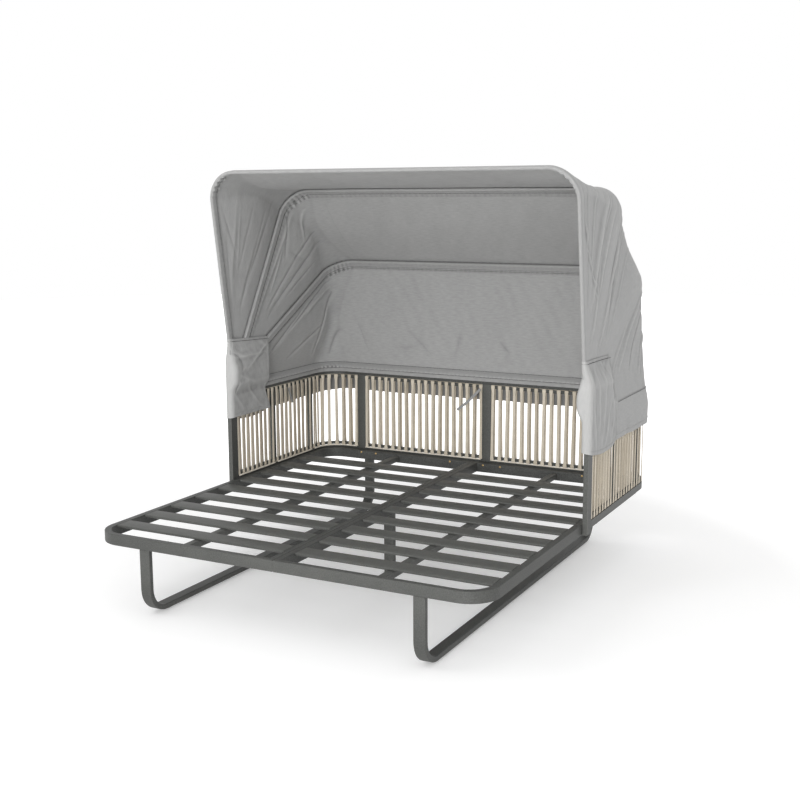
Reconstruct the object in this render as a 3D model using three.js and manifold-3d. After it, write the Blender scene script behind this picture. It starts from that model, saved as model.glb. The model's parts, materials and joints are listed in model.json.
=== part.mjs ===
// Outdoor daybed: a slatted deck in two halves on sled legs, a low wall wound with rope round its back
// half, and a fabric canopy on three bows that turn about one axis and fold back over the wall.
// Millimetres, +Z up, +X to the right, +Y to the back. The origin is at the bottom centre of the whole.

import * as THREE from 'three';
import { mergeVertices } from 'three/addons/utils/BufferGeometryUtils.js';
import Module from 'manifold-3d';

const wasm = await Module();
wasm.setup();

// Clearances that every piece shares

const touch = 0.3; // between two pieces that rest on each other
const rope_clear = 0.6; // between a rope and the bar that it is wound round
const fabric_clear = 0.6; // between fabric and the bow that it covers
const skirt_clear = 0.8; // between the skirt and the wall inside it
const merge_tolerance = 0.0001; // corners closer than this are one
const overrun = 10; // how far a cutting tool runs past the piece

// Deck

const deck_width = 1600;
const deck_depth = 1712;
const deck_height = 297;
const deck_corner = 110;
const corner_flats = 10; // round each corner of the deck and of the wall
const rail_height = 42;
const rail_chamfer = 2;
const side_rail_width = 28;
const front_rail_width = 24;
const back_rail_width = 40;
const seam_rail_width = 24;
const slat_count = 9;
const slat_width = 76;
const slat_thickness = 10;
const slat_round = 3;
const first_slat_y = 108;
const last_slat_inset = 248; // from the last slat to the deck's back
const mid_rail_x = 400;
const mid_rail_width = 30;
const mid_rail_height = 25;

// Legs

const leg_width = 45;
const leg_thickness = 20;
const leg_chamfer = 2;
const leg_bend = 95;
const leg_inset = 4; // from the deck's front and back faces to the leg
const leg_x = 560;
const glide_radius = 13;
const glide_height = 6;
const glide_round = 2;
const glide_after_bend = 24;

// Low wall

const wall_gap = touch; // between the deck and the wall
const wall_thickness = 20;
const base_rail_drop = 21; // from the deck's top down to the base rail's underside
const base_rail_height = 28;
const bar_thickness = 11;
const bar_height = 14;
const top_rail_height = 20;
const rope_reach = 364; // from the deck's top up to the top of the rope
const post_width = 45; // of the front and back posts
const side_post_width = 36; // along the wall
const side_post_thickness = 8;
const post_round = 2;
const front_post_inset = 792; // from the front posts' middle to the deck's back
const side_post_share = 0.495; // the first side post's place between the front post and the second
const side_post_corner = 42; // from where the wall's corner starts to the second side post's middle
const back_post_corner = 81; // from where the wall's corner ends to the outer back post's middle
const middle_post_x = 53;
const rope_pitch = 35.5;
const rope_lead = 13; // from a side post's middle forward to the turn of rope in front of it
const rope_width = 14;
const rope_thickness = 4;
const rope_bend = 1.6;

// Bows and their common pivot

const pivot_z = 762;
const bow_width = 22;
const bow_thickness = 9;
const bow_chamfer = 2.5;
const bow_corner = 120;
const corner_steps = 6; // flats round each bow's corner, and round the fabric over it
const front_bow_reach = 866;
const middle_bow_reach = 896;
const rear_bow_reach = 934;
const front_bow_degrees = -8.5; // back from upright
const middle_bow_degrees = 29.5;
const rear_bow_degrees = 62;
const bolt_radius = 4;
const bolt_clear = 0.3;
const bolt_head_radius = 9;
const bolt_head_height = 4;
const nut_radius = 7;
const nut_height = 6;

// Fabric

const fabric_thickness = 3;
const panel_start = 60; // from the pivot to the lower edge of the panels on the bows
const hem_rise = 34; // from the top rail up to the seam of the skirt
const lip_overlap = 17; // how far the skirt's inner side reaches down over the top rail
const skirt_drop = 151; // from the seam down to the skirt's lower edge
const flap_drop = 142; // from the seam down to the flaps' lower edge
const flap_rise = 197; // from the seam up to the flaps' upper edge
const flap_front_gap = 17; // in front of the post
const flap_length = 350;

// Places worked out from the sizes

const half_width = deck_width / 2;
const deck_bottom = deck_height - rail_height;
const wall_centre = half_width + wall_gap + wall_thickness / 2;
const wall_back = deck_depth + wall_gap + wall_thickness / 2;
const wall_corner = deck_corner + wall_gap + wall_thickness / 2;
const front_post_y = deck_depth - front_post_inset;
const front_post_back = front_post_y + post_width / 2;
const side_post_2_y = wall_back - wall_corner - side_post_corner;
const side_post_1_y = front_post_y + side_post_share * (side_post_2_y - front_post_y);
const back_post_x = wall_centre - wall_corner - back_post_corner;
const slat_pitch = (deck_depth - last_slat_inset - slat_width - first_slat_y) / (slat_count - 1);
const base_rail_bottom = deck_height - base_rail_drop;
const base_rail_top = base_rail_bottom + base_rail_height;
const lower_bar_bottom = base_rail_top + rope_thickness + 2 * rope_clear;
const rope_top = deck_height + rope_reach;
const upper_bar_bottom = rope_top - rope_thickness - rope_clear - bar_height;
const top_rail_bottom = rope_top + rope_clear;
const top_rail_top = top_rail_bottom + top_rail_height;

// Colours

const grey_paint = new THREE.MeshStandardMaterial({ color: 0x5a5b59, roughness: 0.55, metalness: 0.3 });
const beige_rope = new THREE.MeshStandardMaterial({ color: 0xc4b9a3, roughness: 0.85, metalness: 0 });
const grey_fabric = new THREE.MeshStandardMaterial({ color: 0x8f8f8d, roughness: 0.95, metalness: 0 });
const black_rubber = new THREE.MeshStandardMaterial({ color: 0x1c1c1c, roughness: 0.8, metalness: 0 });
const steel = new THREE.MeshStandardMaterial({ color: 0x9a9a98, roughness: 0.35, metalness: 0.9 });

const daybed = new THREE.Group();

function add(name, geometry, material, place = [0, 0, 0], turn_x = 0) {
  const mesh = new THREE.Mesh(geometry, material);
  mesh.name = name;
  mesh.position.set(...place);
  mesh.rotation.x = turn_x;
  daybed.add(mesh);
  return mesh;
}

// Turning an extrusion, which is made along Z, so that it runs along X or along Y

const unit_x = new THREE.Vector3(1, 0, 0);
const unit_y = new THREE.Vector3(0, 1, 0);
const unit_z = new THREE.Vector3(0, 0, 1);

function alongX(geometry) {
  return geometry.applyMatrix4(new THREE.Matrix4().makeBasis(unit_y, unit_z, unit_x));
}

function alongY(geometry) {
  return geometry.applyMatrix4(new THREE.Matrix4().makeBasis(unit_x, unit_z, unit_y.clone().negate()));
}

// An outline pushed to a depth, with its edges chamfered inside its own size

function extrude(shape, depth, chamfer = 0, curveSegments = 8) {
  const geometry = new THREE.ExtrudeGeometry(shape, {
    depth: depth - 2 * chamfer,
    curveSegments,
    bevelEnabled: chamfer > 0,
    bevelThickness: chamfer,
    bevelSize: chamfer,
    bevelOffset: -chamfer,
    bevelSegments: 1,
  });
  return geometry.translate(0, 0, chamfer);
}

function roundedRectangle(width, height, radius) {
  const x = width / 2;
  const y = height / 2;
  const shape = new THREE.Shape();
  shape.moveTo(radius - x, -y);
  shape.absarc(x - radius, radius - y, radius, -Math.PI / 2, 0, false);
  shape.absarc(x - radius, y - radius, radius, 0, Math.PI / 2, false);
  shape.absarc(radius - x, y - radius, radius, Math.PI / 2, Math.PI, false);
  shape.absarc(radius - x, radius - y, radius, Math.PI, Math.PI * 1.5, false);
  return shape;
}

// Solids for joining and cutting

function solidOf(geometry) {
  const bare = geometry.clone();
  bare.deleteAttribute('normal');
  bare.deleteAttribute('uv');
  const merged = mergeVertices(bare.index ? bare.toNonIndexed() : bare, merge_tolerance);
  return new wasm.Manifold(new wasm.Mesh({
    numProp: 3,
    vertProperties: merged.attributes.position.array,
    triVerts: new Uint32Array(merged.index.array),
  }));
}

function geometryOf(solid) {
  const mesh = solid.getMesh();
  const geometry = new THREE.BufferGeometry();
  geometry.setAttribute('position', new THREE.BufferAttribute(mesh.vertProperties, 3));
  geometry.setIndex(new THREE.BufferAttribute(mesh.triVerts, 1));
  return geometry;
}

function box(x0, x1, y0, y1, z0, z1) {
  const geometry = new THREE.BoxGeometry(x1 - x0, y1 - y0, z1 - z0);
  return geometry.translate((x0 + x1) / 2, (y0 + y1) / 2, (z0 + z1) / 2);
}

// A closed mesh from its corners and triangles, turned so that its faces point outwards

function closedMesh(points, triangles) {
  let volume = 0;
  for (const [a, b, c] of triangles) {
    volume += points[a].dot(points[b].clone().cross(points[c]));
  }
  const order = volume > 0 ? triangles : triangles.map(([a, b, c]) => [a, c, b]);
  const geometry = new THREE.BufferGeometry();
  const coordinates = points.flatMap((point) => [point.x, point.y, point.z]);
  geometry.setAttribute('position', new THREE.Float32BufferAttribute(coordinates, 3));
  geometry.setIndex(order.flat());
  return geometry;
}

// Deck halves: a ring of rectangular tube with a thin rail at the seam, and round outer corners

const seam_x = touch / 2;

function rightDeckFrame() {
  const turn_x = half_width - deck_corner;
  const back_y = deck_depth - deck_corner;
  const shape = new THREE.Shape();
  shape.moveTo(seam_x, 0);
  shape.lineTo(turn_x, 0);
  shape.absarc(turn_x, deck_corner, deck_corner, -Math.PI / 2, 0, false);
  shape.absarc(turn_x, back_y, deck_corner, 0, Math.PI / 2, false);
  shape.lineTo(seam_x, deck_depth);
  const hole = new THREE.Path();
  const across = deck_corner - side_rail_width;
  const front = deck_corner - front_rail_width;
  const back = deck_corner - back_rail_width;
  hole.moveTo(seam_x + seam_rail_width, front_rail_width);
  hole.lineTo(turn_x, front_rail_width);
  hole.absellipse(turn_x, deck_corner, across, front, -Math.PI / 2, 0, false);
  hole.absellipse(turn_x, back_y, across, back, 0, Math.PI / 2, false);
  hole.lineTo(seam_x + seam_rail_width, deck_depth - back_rail_width);
  shape.holes.push(hole);
  return extrude(shape, rail_height, rail_chamfer, corner_flats / 2);
}

// The left half is the mirror image of the right one

function mirroredInX(geometry) {
  const solid = solidOf(geometry).mirror([1, 0, 0]);
  return geometryOf(solid);
}

const sides = [['left', -1], ['right', 1]];

add('left_deck_frame', mirroredInX(rightDeckFrame()), grey_paint, [0, 0, deck_bottom]);
add('right_deck_frame', rightDeckFrame(), grey_paint, [0, 0, deck_bottom]);

const slat_start = seam_x + seam_rail_width + touch;
const slat_end = half_width - side_rail_width - touch;
const slat_bottom = deck_height - slat_thickness;

for (const [word, side] of sides) {
  for (let i = 0; i < slat_count; i += 1) {
    const profile = roundedRectangle(slat_width, slat_thickness, slat_round);
    const slat = alongX(extrude(profile, slat_end - slat_start, 0, 1));
    const y = first_slat_y + slat_width / 2 + i * slat_pitch;
    const x = side > 0 ? slat_start : -slat_end;
    add(`${word}_slat_${i + 1}`, slat, grey_paint, [x, y, slat_bottom + slat_thickness / 2]);
  }
}

// One rail runs front to back under the slats, halfway across each half

const mid_rail_start = front_rail_width + touch;
const mid_rail_length = deck_depth - back_rail_width - touch - mid_rail_start;

for (const [word, side] of sides) {
  const profile = roundedRectangle(mid_rail_width, mid_rail_height, slat_round);
  const rail = alongY(extrude(profile, mid_rail_length, 0, 1));
  const z = slat_bottom - touch - mid_rail_height / 2;
  add(`${word}_mid_rail`, rail, grey_paint, [side * mid_rail_x, mid_rail_start + mid_rail_length, z]);
}

// Sled legs: one flat tube each, bent down, along the floor and up again

const leg_bottom = glide_height + touch;
const leg_top = deck_bottom - touch;
const leg_front = leg_inset;
const leg_back = deck_depth - leg_inset;

function sledLeg() {
  const outer = leg_bend;
  const inner = leg_bend - leg_thickness;
  const turn = leg_bottom + leg_bend;
  const shape = new THREE.Shape();
  shape.moveTo(leg_front, leg_top);
  shape.lineTo(leg_front, turn);
  shape.absarc(leg_front + leg_bend, turn, outer, Math.PI, Math.PI * 1.5, false);
  shape.absarc(leg_back - leg_bend, turn, outer, -Math.PI / 2, 0, false);
  shape.lineTo(leg_back, leg_top);
  shape.lineTo(leg_back - leg_thickness, leg_top);
  shape.absarc(leg_back - leg_bend, turn, inner, 0, -Math.PI / 2, true);
  shape.absarc(leg_front + leg_bend, turn, inner, Math.PI * 1.5, Math.PI, true);
  shape.lineTo(leg_front + leg_thickness, leg_top);
  return alongX(extrude(shape, leg_width, leg_chamfer, 4));
}

function glide() {
  const points = [
    new THREE.Vector2(0, 0),
    new THREE.Vector2(glide_radius - glide_round, 0),
    new THREE.Vector2(glide_radius, glide_round),
    new THREE.Vector2(glide_radius, glide_height),
    new THREE.Vector2(0, glide_height),
  ];
  return new THREE.LatheGeometry(points, 16).rotateX(Math.PI / 2);
}

const glide_front_y = leg_front + leg_bend + glide_after_bend;
const glide_back_y = leg_back - leg_bend - glide_after_bend;

for (const [word, side] of sides) {
  add(`${word}_sled_leg`, sledLeg(), grey_paint, [side * leg_x - leg_width / 2, 0, 0]);
  add(`${word}_front_glide`, glide(), black_rubber, [side * leg_x, glide_front_y, 0]);
  add(`${word}_rear_glide`, glide(), black_rubber, [side * leg_x, glide_back_y, 0]);
}

const centre_leg = extrude(roundedRectangle(leg_width, leg_thickness, leg_chamfer), leg_top, 0, 1);
add('centre_leg', centre_leg, grey_paint, [0, deck_depth / 2, 0]);

// The wall's plan: a U that is open at the front, with round corners at the back.
// A place on it is a distance along its middle line from the left front post, and one out from that line.

const wall_start = front_post_back + touch;
const arc_length = wall_corner * Math.PI / 2;
const side_length = wall_back - wall_corner - wall_start;
const back_length = 2 * (wall_centre - wall_corner);
const wall_length = 2 * (side_length + arc_length) + back_length;

function wallPoint(distance, out) {
  const mirrored = distance > wall_length / 2;
  let along = mirrored ? wall_length - distance : distance;
  let x = 0;
  let y = 0;
  if (along < side_length) {
    x = -wall_centre - out;
    y = wall_start + along;
  } else if (along < side_length + arc_length) {
    const angle = (along - side_length) / wall_corner;
    const radius = wall_corner + out;
    x = -(wall_centre - wall_corner) - radius * Math.cos(angle);
    y = wall_back - wall_corner + radius * Math.sin(angle);
  } else {
    along -= side_length + arc_length;
    x = -(wall_centre - wall_corner) + along;
    y = wall_back + out;
  }
  return new THREE.Vector2(mirrored ? -x : x, y);
}

function sideDistance(y) {
  return y - wall_start;
}

function backDistance(x) {
  return wall_length / 2 + x;
}

// A band of the wall between two distances out from its middle line, from a height to another

function wallBand(inside, outside, front_y, bottom, top, chamfer) {
  const turn = wall_centre - wall_corner;
  const turn_y = wall_back - wall_corner;
  const shape = new THREE.Shape();
  shape.moveTo(wall_centre + outside, front_y);
  shape.lineTo(wall_centre + outside, turn_y);
  shape.absarc(turn, turn_y, wall_corner + outside, 0, Math.PI / 2, false);
  shape.absarc(-turn, turn_y, wall_corner + outside, Math.PI / 2, Math.PI, false);
  shape.lineTo(-wall_centre - outside, front_y);
  shape.lineTo(-wall_centre - inside, front_y);
  shape.absarc(-turn, turn_y, wall_corner + inside, Math.PI, Math.PI / 2, true);
  shape.absarc(turn, turn_y, wall_corner + inside, Math.PI / 2, 0, true);
  shape.lineTo(wall_centre + inside, front_y);
  return extrude(shape, top - bottom, chamfer, corner_flats / 2).translate(0, 0, bottom);
}

const wall_half = wall_thickness / 2;
const bar_half = bar_thickness / 2;
const rail_edge = post_round / 2;
const base_rail = wallBand(-wall_half, wall_half, wall_start, base_rail_bottom, base_rail_top, rail_edge);
const lower_bar_top = lower_bar_bottom + bar_height;
const upper_bar_top = upper_bar_bottom + bar_height;
const lower_bar = wallBand(-bar_half, bar_half, wall_start, lower_bar_bottom, lower_bar_top, 0);
const upper_bar = wallBand(-bar_half, bar_half, wall_start, upper_bar_bottom, upper_bar_top, 0);
const top_rail = wallBand(-wall_half, wall_half, wall_start, top_rail_bottom, top_rail_top, rail_edge);
add('surround_base_rail', base_rail, grey_paint);
add('surround_lower_bar', lower_bar, grey_paint);
add('surround_upper_bar', upper_bar, grey_paint);
add('surround_top_rail', top_rail, grey_paint);

// Back posts between the base rail and the top rail, with slots that the two bars run through

function backPost() {
  const bottom = base_rail_top + touch;
  const top = top_rail_bottom - touch;
  const shape = roundedRectangle(post_width, wall_thickness, post_round);
  let solid = solidOf(extrude(shape, top - bottom, 0, 1).translate(0, 0, bottom));
  const reach = (post_width + overrun) / 2;
  const slot_half = bar_half + touch;
  for (const bar_bottom of [lower_bar_bottom, upper_bar_bottom]) {
    const slot_low = bar_bottom - touch;
    const slot_high = bar_bottom + bar_height + touch;
    solid = solid.subtract(solidOf(box(-reach, reach, -slot_half, slot_half, slot_low, slot_high)));
  }
  return geometryOf(solid);
}

for (const [word, side] of sides) {
  add(`back_${word}_post`, backPost(), grey_paint, [side * back_post_x, wall_back, 0]);
}
add('back_middle_post', backPost(), grey_paint, [middle_post_x, wall_back, 0]);

// Side posts: flat bars from the lower bar up to the upper bar, thin enough for the rope to pass over them

const side_post_bottom = lower_bar_top + touch;
const side_post_height = upper_bar_bottom - touch - side_post_bottom;
const side_post_section = roundedRectangle(side_post_thickness, side_post_width, post_round);

for (const [word, side] of sides) {
  [side_post_1_y, side_post_2_y].forEach((y, i) => {
    const side_post = extrude(side_post_section, side_post_height, 0, 1);
    add(`${word}_side_post_${i + 1}`, side_post, grey_paint, [side * wall_centre, y, side_post_bottom]);
  });
}

// Front posts: from the underside of the deck up to the pivot, with a round top and the pivot's hole

function frontPost() {
  const half = post_width / 2;
  const shape = new THREE.Shape();
  shape.moveTo(-half, deck_bottom);
  shape.lineTo(half, deck_bottom);
  shape.absarc(0, pivot_z, half, 0, Math.PI, false);
  const hole = new THREE.Path();
  hole.absarc(0, pivot_z, bolt_radius + bolt_clear, 0, Math.PI * 2, true);
  shape.holes.push(hole);
  return alongX(extrude(shape, wall_thickness, rail_edge, 6));
}

for (const [word, side] of sides) {
  add(`${word}_front_post`, frontPost(), grey_paint, [side * wall_centre - wall_half, front_post_y, 0]);
}

// Rope wound round the two bars, as one flat band for each bay between posts.
// Each turn goes down the inside, under the lower bar, up the outside and over the upper bar to the next.

const rope_half = bar_half + rope_clear + rope_thickness / 2;
const rope_low = lower_bar_bottom - rope_clear - rope_thickness / 2;
const rope_high = upper_bar_bottom + bar_height + rope_clear + rope_thickness / 2;

// The ring of corners where the band starts or ends a bend: out, height, and the way its outer face looks

const rope_turn = [
  [rope_bend - rope_half, rope_high, Math.PI * 0.625],
  [-rope_half, rope_high - rope_bend, Math.PI * 0.875],
  [-rope_half, rope_low + rope_bend, Math.PI * 1.125],
  [rope_bend - rope_half, rope_low, Math.PI * 1.375],
  [rope_half - rope_bend, rope_low, Math.PI * 1.625],
  [rope_half, rope_low + rope_bend, Math.PI * 1.875],
  [rope_half, rope_high - rope_bend, Math.PI * 2.125],
  [rope_half - rope_bend, rope_high, Math.PI * 2.375],
];

function ropePanel(name, first, last) {
  const count = Math.round((last - first) / rope_pitch) + 1;
  const pitch = (last - first) / (count - 1);
  const mitre = rope_thickness / 2 / Math.cos(Math.PI / 8);
  const rings = [];
  for (let k = 0; k < count; k += 1) {
    const middle = first + k * pitch;
    for (const [out, height, angle] of rope_turn) {
      const ahead = wallPoint(middle + rope_width / 2, 0);
      const tangent = ahead.sub(wallPoint(middle - rope_width / 2, 0)).normalize();
      const ring = [[-1, -1], [1, -1], [1, 1], [-1, 1]].map(([across, through]) => {
        const point = wallPoint(middle, out + through * mitre * Math.cos(angle));
        point.addScaledVector(tangent, across * rope_width / 2);
        return new THREE.Vector3(point.x, point.y, height + through * mitre * Math.sin(angle));
      });
      rings.push(ring);
    }
  }
  const triangles = [[0, 1, 2], [0, 2, 3]];
  for (let r = 0; r + 1 < rings.length; r += 1) {
    for (let c = 0; c < 4; c += 1) {
      const a = 4 * r + c;
      const b = 4 * r + (c + 1) % 4;
      triangles.push([a, a + 4, b + 4], [a, b + 4, b]);
    }
  }
  const tail = 4 * (rings.length - 1);
  triangles.push([tail, tail + 2, tail + 1], [tail, tail + 3, tail + 2]);
  console.log(`${name}: ${count} turns, least gap to itself ${leastGap(rings).toFixed(1)} mm`);
  return closedMesh(rings.flat(), triangles);
}

// The least distance between points of the band that are half a turn or more apart along it

function leastGap(rings) {
  const samples = [];
  const steps = 4;
  for (let r = 0; r + 1 < rings.length; r += 1) {
    for (let i = 0; i < steps; i += 1) {
      const at = rings[r].map((corner, c) => corner.clone().lerp(rings[r + 1][c], i / steps));
      samples.push([r, at]);
    }
  }
  let least = Infinity;
  for (const [r, points] of samples) {
    for (const [q, others] of samples) {
      if (q - r >= rope_turn.length / 2) {
        for (const a of points) {
          for (const b of others) {
            least = Math.min(least, a.distanceTo(b));
          }
        }
      }
    }
  }
  return least;
}

// Each rope's first and last turn along the wall: beside a front or back post, or in front of a side post

const beside_front = rope_clear + rope_width / 2;
const beside_back = post_width / 2 + beside_front;
const over_side_1 = sideDistance(side_post_1_y) - rope_lead;
const over_side_2 = sideDistance(side_post_2_y) - rope_lead;
const rope_runs = {
  left_side_rope_1: [beside_front, over_side_1],
  left_side_rope_2: [over_side_1 + rope_pitch, over_side_2],
  left_corner_rope: [over_side_2 + rope_pitch, backDistance(-back_post_x) - beside_back],
  back_left_rope: [backDistance(-back_post_x) + beside_back, backDistance(middle_post_x) - beside_back],
  back_right_rope: [backDistance(middle_post_x) + beside_back, backDistance(back_post_x) - beside_back],
  right_corner_rope: [backDistance(back_post_x) + beside_back, wall_length - over_side_2 - rope_pitch],
  right_side_rope_2: [wall_length - over_side_2, wall_length - over_side_1 - rope_pitch],
  right_side_rope_1: [wall_length - over_side_1, wall_length - beside_front],
};

for (const [name, [first, last]] of Object.entries(rope_runs)) {
  add(name, ropePanel(name, first, last), beige_rope);
}

// Bows: flat tube bent to a U, side by side on the front posts' inner faces, with an eye at each end

const bow_step = bow_thickness + touch;
const front_bow_x = wall_centre - wall_half - touch - bow_thickness / 2;
const bows = [
  { name: 'front_bow', x: front_bow_x, reach: front_bow_reach, degrees: front_bow_degrees },
  { name: 'middle_bow', x: front_bow_x - bow_step, reach: middle_bow_reach, degrees: middle_bow_degrees },
  { name: 'rear_bow', x: front_bow_x - 2 * bow_step, reach: rear_bow_reach, degrees: rear_bow_degrees },
];

function bowGeometry(bow) {
  const half = bow_thickness / 2;
  const turn_x = bow.x - bow_corner;
  const turn_z = bow.reach - bow_corner;
  const shape = new THREE.Shape();
  shape.moveTo(bow.x + half, 0);
  shape.lineTo(bow.x + half, turn_z);
  shape.absarc(turn_x, turn_z, bow_corner + half, 0, Math.PI / 2, false);
  shape.absarc(-turn_x, turn_z, bow_corner + half, Math.PI / 2, Math.PI, false);
  shape.lineTo(-bow.x - half, 0);
  shape.lineTo(half - bow.x, 0);
  shape.absarc(-turn_x, turn_z, bow_corner - half, Math.PI, Math.PI / 2, true);
  shape.absarc(turn_x, turn_z, bow_corner - half, Math.PI / 2, 0, true);
  shape.lineTo(bow.x - half, 0);
  const strip = alongY(extrude(shape, bow_width, bow_chamfer, corner_steps / 2));
  let solid = solidOf(strip.translate(0, bow_width / 2, 0));
  for (const side of [-1, 1]) {
    const eye = new THREE.CylinderGeometry(bow_width / 2, bow_width / 2, bow_thickness, 16);
    solid = solid.add(solidOf(eye.rotateZ(Math.PI / 2).translate(side * bow.x, 0, 0)));
  }
  for (const side of [-1, 1]) {
    const hole_radius = bolt_radius + bolt_clear;
    const hole = new THREE.CylinderGeometry(hole_radius, hole_radius, bow_thickness + overrun, 12);
    solid = solid.subtract(solidOf(hole.rotateZ(Math.PI / 2).translate(side * bow.x, 0, 0)));
  }
  return geometryOf(solid);
}

for (const bow of bows) {
  const turn = -THREE.MathUtils.degToRad(bow.degrees);
  add(bow.name, bowGeometry(bow), grey_paint, [0, front_post_y, pivot_z], turn);
}

// Pivot bolts: a domed head outside the post, and a nut inside the rear bow

function pivotBolt(side) {
  const head = wall_centre + wall_half + touch;
  const nut = bows[2].x - bow_thickness / 2 - touch;
  const points = [
    [0, head + bolt_head_height],
    [bolt_head_radius / 2, head + bolt_head_height],
    [bolt_head_radius, head + bolt_head_height / 2],
    [bolt_head_radius, head],
    [bolt_radius, head],
    [bolt_radius, nut],
    [nut_radius, nut],
    [nut_radius, nut - nut_height],
    [0, nut - nut_height],
  ].map(([radius, along]) => new THREE.Vector2(radius, along));
  const lathe = new THREE.LatheGeometry(points.reverse(), 16);
  return lathe.rotateZ(-side * Math.PI / 2);
}

for (const [word, side] of sides) {
  add(`${word}_pivot_bolt`, pivotBolt(side), steel, [0, front_post_y, pivot_z]);
}

// Canopy panels: sheets stretched from bow to bow, and from the rear bow to the hem on the wall

const leg_steps = 6;
const top_steps = 8;

function hoopOutline(half, start, height, corner) {
  const points = [];
  for (let i = 0; i < leg_steps; i += 1) {
    points.push([-half, start + (height - corner - start) * i / leg_steps]);
  }
  for (let i = 0; i <= corner_steps; i += 1) {
    const angle = Math.PI / 2 * i / corner_steps;
    points.push([corner - half - corner * Math.cos(angle), height - corner + corner * Math.sin(angle)]);
  }
  for (let i = 1; i < top_steps; i += 1) {
    points.push([(half - corner) * (2 * i / top_steps - 1), height]);
  }
  const mirrored = points.slice(0, leg_steps + corner_steps + 1).map(([x, z]) => [-x, z]);
  return [...points, ...mirrored.reverse()];
}

// A row of the sheet over a bow, set forward or back of the bow's middle plane

function bowRow(bow, shift) {
  const proud = bow_thickness / 2 + fabric_clear + fabric_thickness / 2;
  const angle = THREE.MathUtils.degToRad(bow.degrees);
  const outline = hoopOutline(bow.x + proud, panel_start, bow.reach + proud, bow_corner + proud);
  return outline.map(([x, reach]) => new THREE.Vector3(
    x,
    front_post_y + reach * Math.sin(angle) + shift * Math.cos(angle),
    pivot_z + reach * Math.cos(angle) - shift * Math.sin(angle),
  ));
}

// The row along the hem on the wall, with its points in step with those on a bow

function hemRow(height) {
  const start = panel_start;
  const row = [];
  for (let i = 0; i < leg_steps; i += 1) {
    row.push(wallPoint(start + (side_length - start) * i / leg_steps, 0));
  }
  for (let i = 0; i <= corner_steps; i += 1) {
    row.push(wallPoint(side_length + arc_length * i / corner_steps, 0));
  }
  for (let i = 1; i < top_steps; i += 1) {
    row.push(wallPoint(side_length + arc_length + back_length * i / top_steps, 0));
  }
  const left = row.slice(0, leg_steps + corner_steps + 1);
  const right = left.map((point) => new THREE.Vector2(-point.x, point.y)).reverse();
  return [...row, ...right].map((point) => new THREE.Vector3(point.x, point.y, height));
}

function between(row_a, row_b, share) {
  return row_a.map((point, i) => point.clone().lerp(row_b[i], share));
}

// A sheet of the fabric's thickness whose middle runs through the rows

function sheet(rows) {
  const columns = rows[0].length;
  const middle = rows.flat();
  const normals = middle.map((point, i) => {
    const r = Math.floor(i / columns);
    const c = i % columns;
    const along = rows[r][Math.min(c + 1, columns - 1)].clone().sub(rows[r][Math.max(c - 1, 0)]);
    const down = rows[Math.min(r + 1, rows.length - 1)][c].clone().sub(rows[Math.max(r - 1, 0)][c]);
    return along.cross(down).normalize();
  });
  const half = fabric_thickness / 2;
  const points = [
    ...middle.map((point, i) => point.clone().addScaledVector(normals[i], half)),
    ...middle.map((point, i) => point.clone().addScaledVector(normals[i], -half)),
  ];
  const below = middle.length;
  const triangles = [];
  for (let r = 0; r + 1 < rows.length; r += 1) {
    for (let c = 0; c + 1 < columns; c += 1) {
      const a = r * columns + c;
      const d = a + columns;
      triangles.push([a, d, d + 1], [a, d + 1, a + 1]);
      triangles.push([below + a, below + d + 1, below + d], [below + a, below + a + 1, below + d + 1]);
    }
  }
  const rim = [];
  for (let c = 0; c + 1 < columns; c += 1) {
    rim.push(c);
  }
  for (let r = 0; r + 1 < rows.length; r += 1) {
    rim.push(r * columns + columns - 1);
  }
  for (let c = columns - 1; c > 0; c -= 1) {
    rim.push((rows.length - 1) * columns + c);
  }
  for (let r = rows.length - 1; r > 0; r -= 1) {
    rim.push(r * columns);
  }
  rim.forEach((a, i) => {
    const b = rim[(i + 1) % rim.length];
    triangles.push([a, b, below + b], [a, below + b, below + a]);
  });
  return closedMesh(points, triangles);
}

const bow_edge = bow_width / 2 + fabric_clear;
const panel_shares = [0.33, 0.67];

function bowPanel(bow_a, bow_b, first_shift) {
  const start = bowRow(bow_a, bow_edge);
  const end = bowRow(bow_b, -bow_edge);
  const rows = [bowRow(bow_a, first_shift), start];
  panel_shares.forEach((share) => rows.push(between(start, end, share)));
  rows.push(end, bowRow(bow_b, -touch / 2));
  return sheet(rows);
}

const hem_z = top_rail_top + hem_rise;
const [front_bow, middle_bow, rear_bow] = bows;
add('front_canopy_panel', bowPanel(front_bow, middle_bow, -bow_edge), grey_fabric);
add('middle_canopy_panel', bowPanel(middle_bow, rear_bow, touch / 2), grey_fabric);

function rearPanel() {
  const start = bowRow(rear_bow, bow_edge);
  const end = hemRow(hem_z + fabric_thickness / 2 + touch);
  const rows = [bowRow(rear_bow, touch / 2), start];
  panel_shares.forEach((share) => rows.push(between(start, end, share)));
  rows.push(end);
  return sheet(rows);
}

add('rear_canopy_panel', rearPanel(), grey_fabric);

// Skirt: fabric folded over the top rail, short inside and long outside, with a deep flap round each pivot

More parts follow.
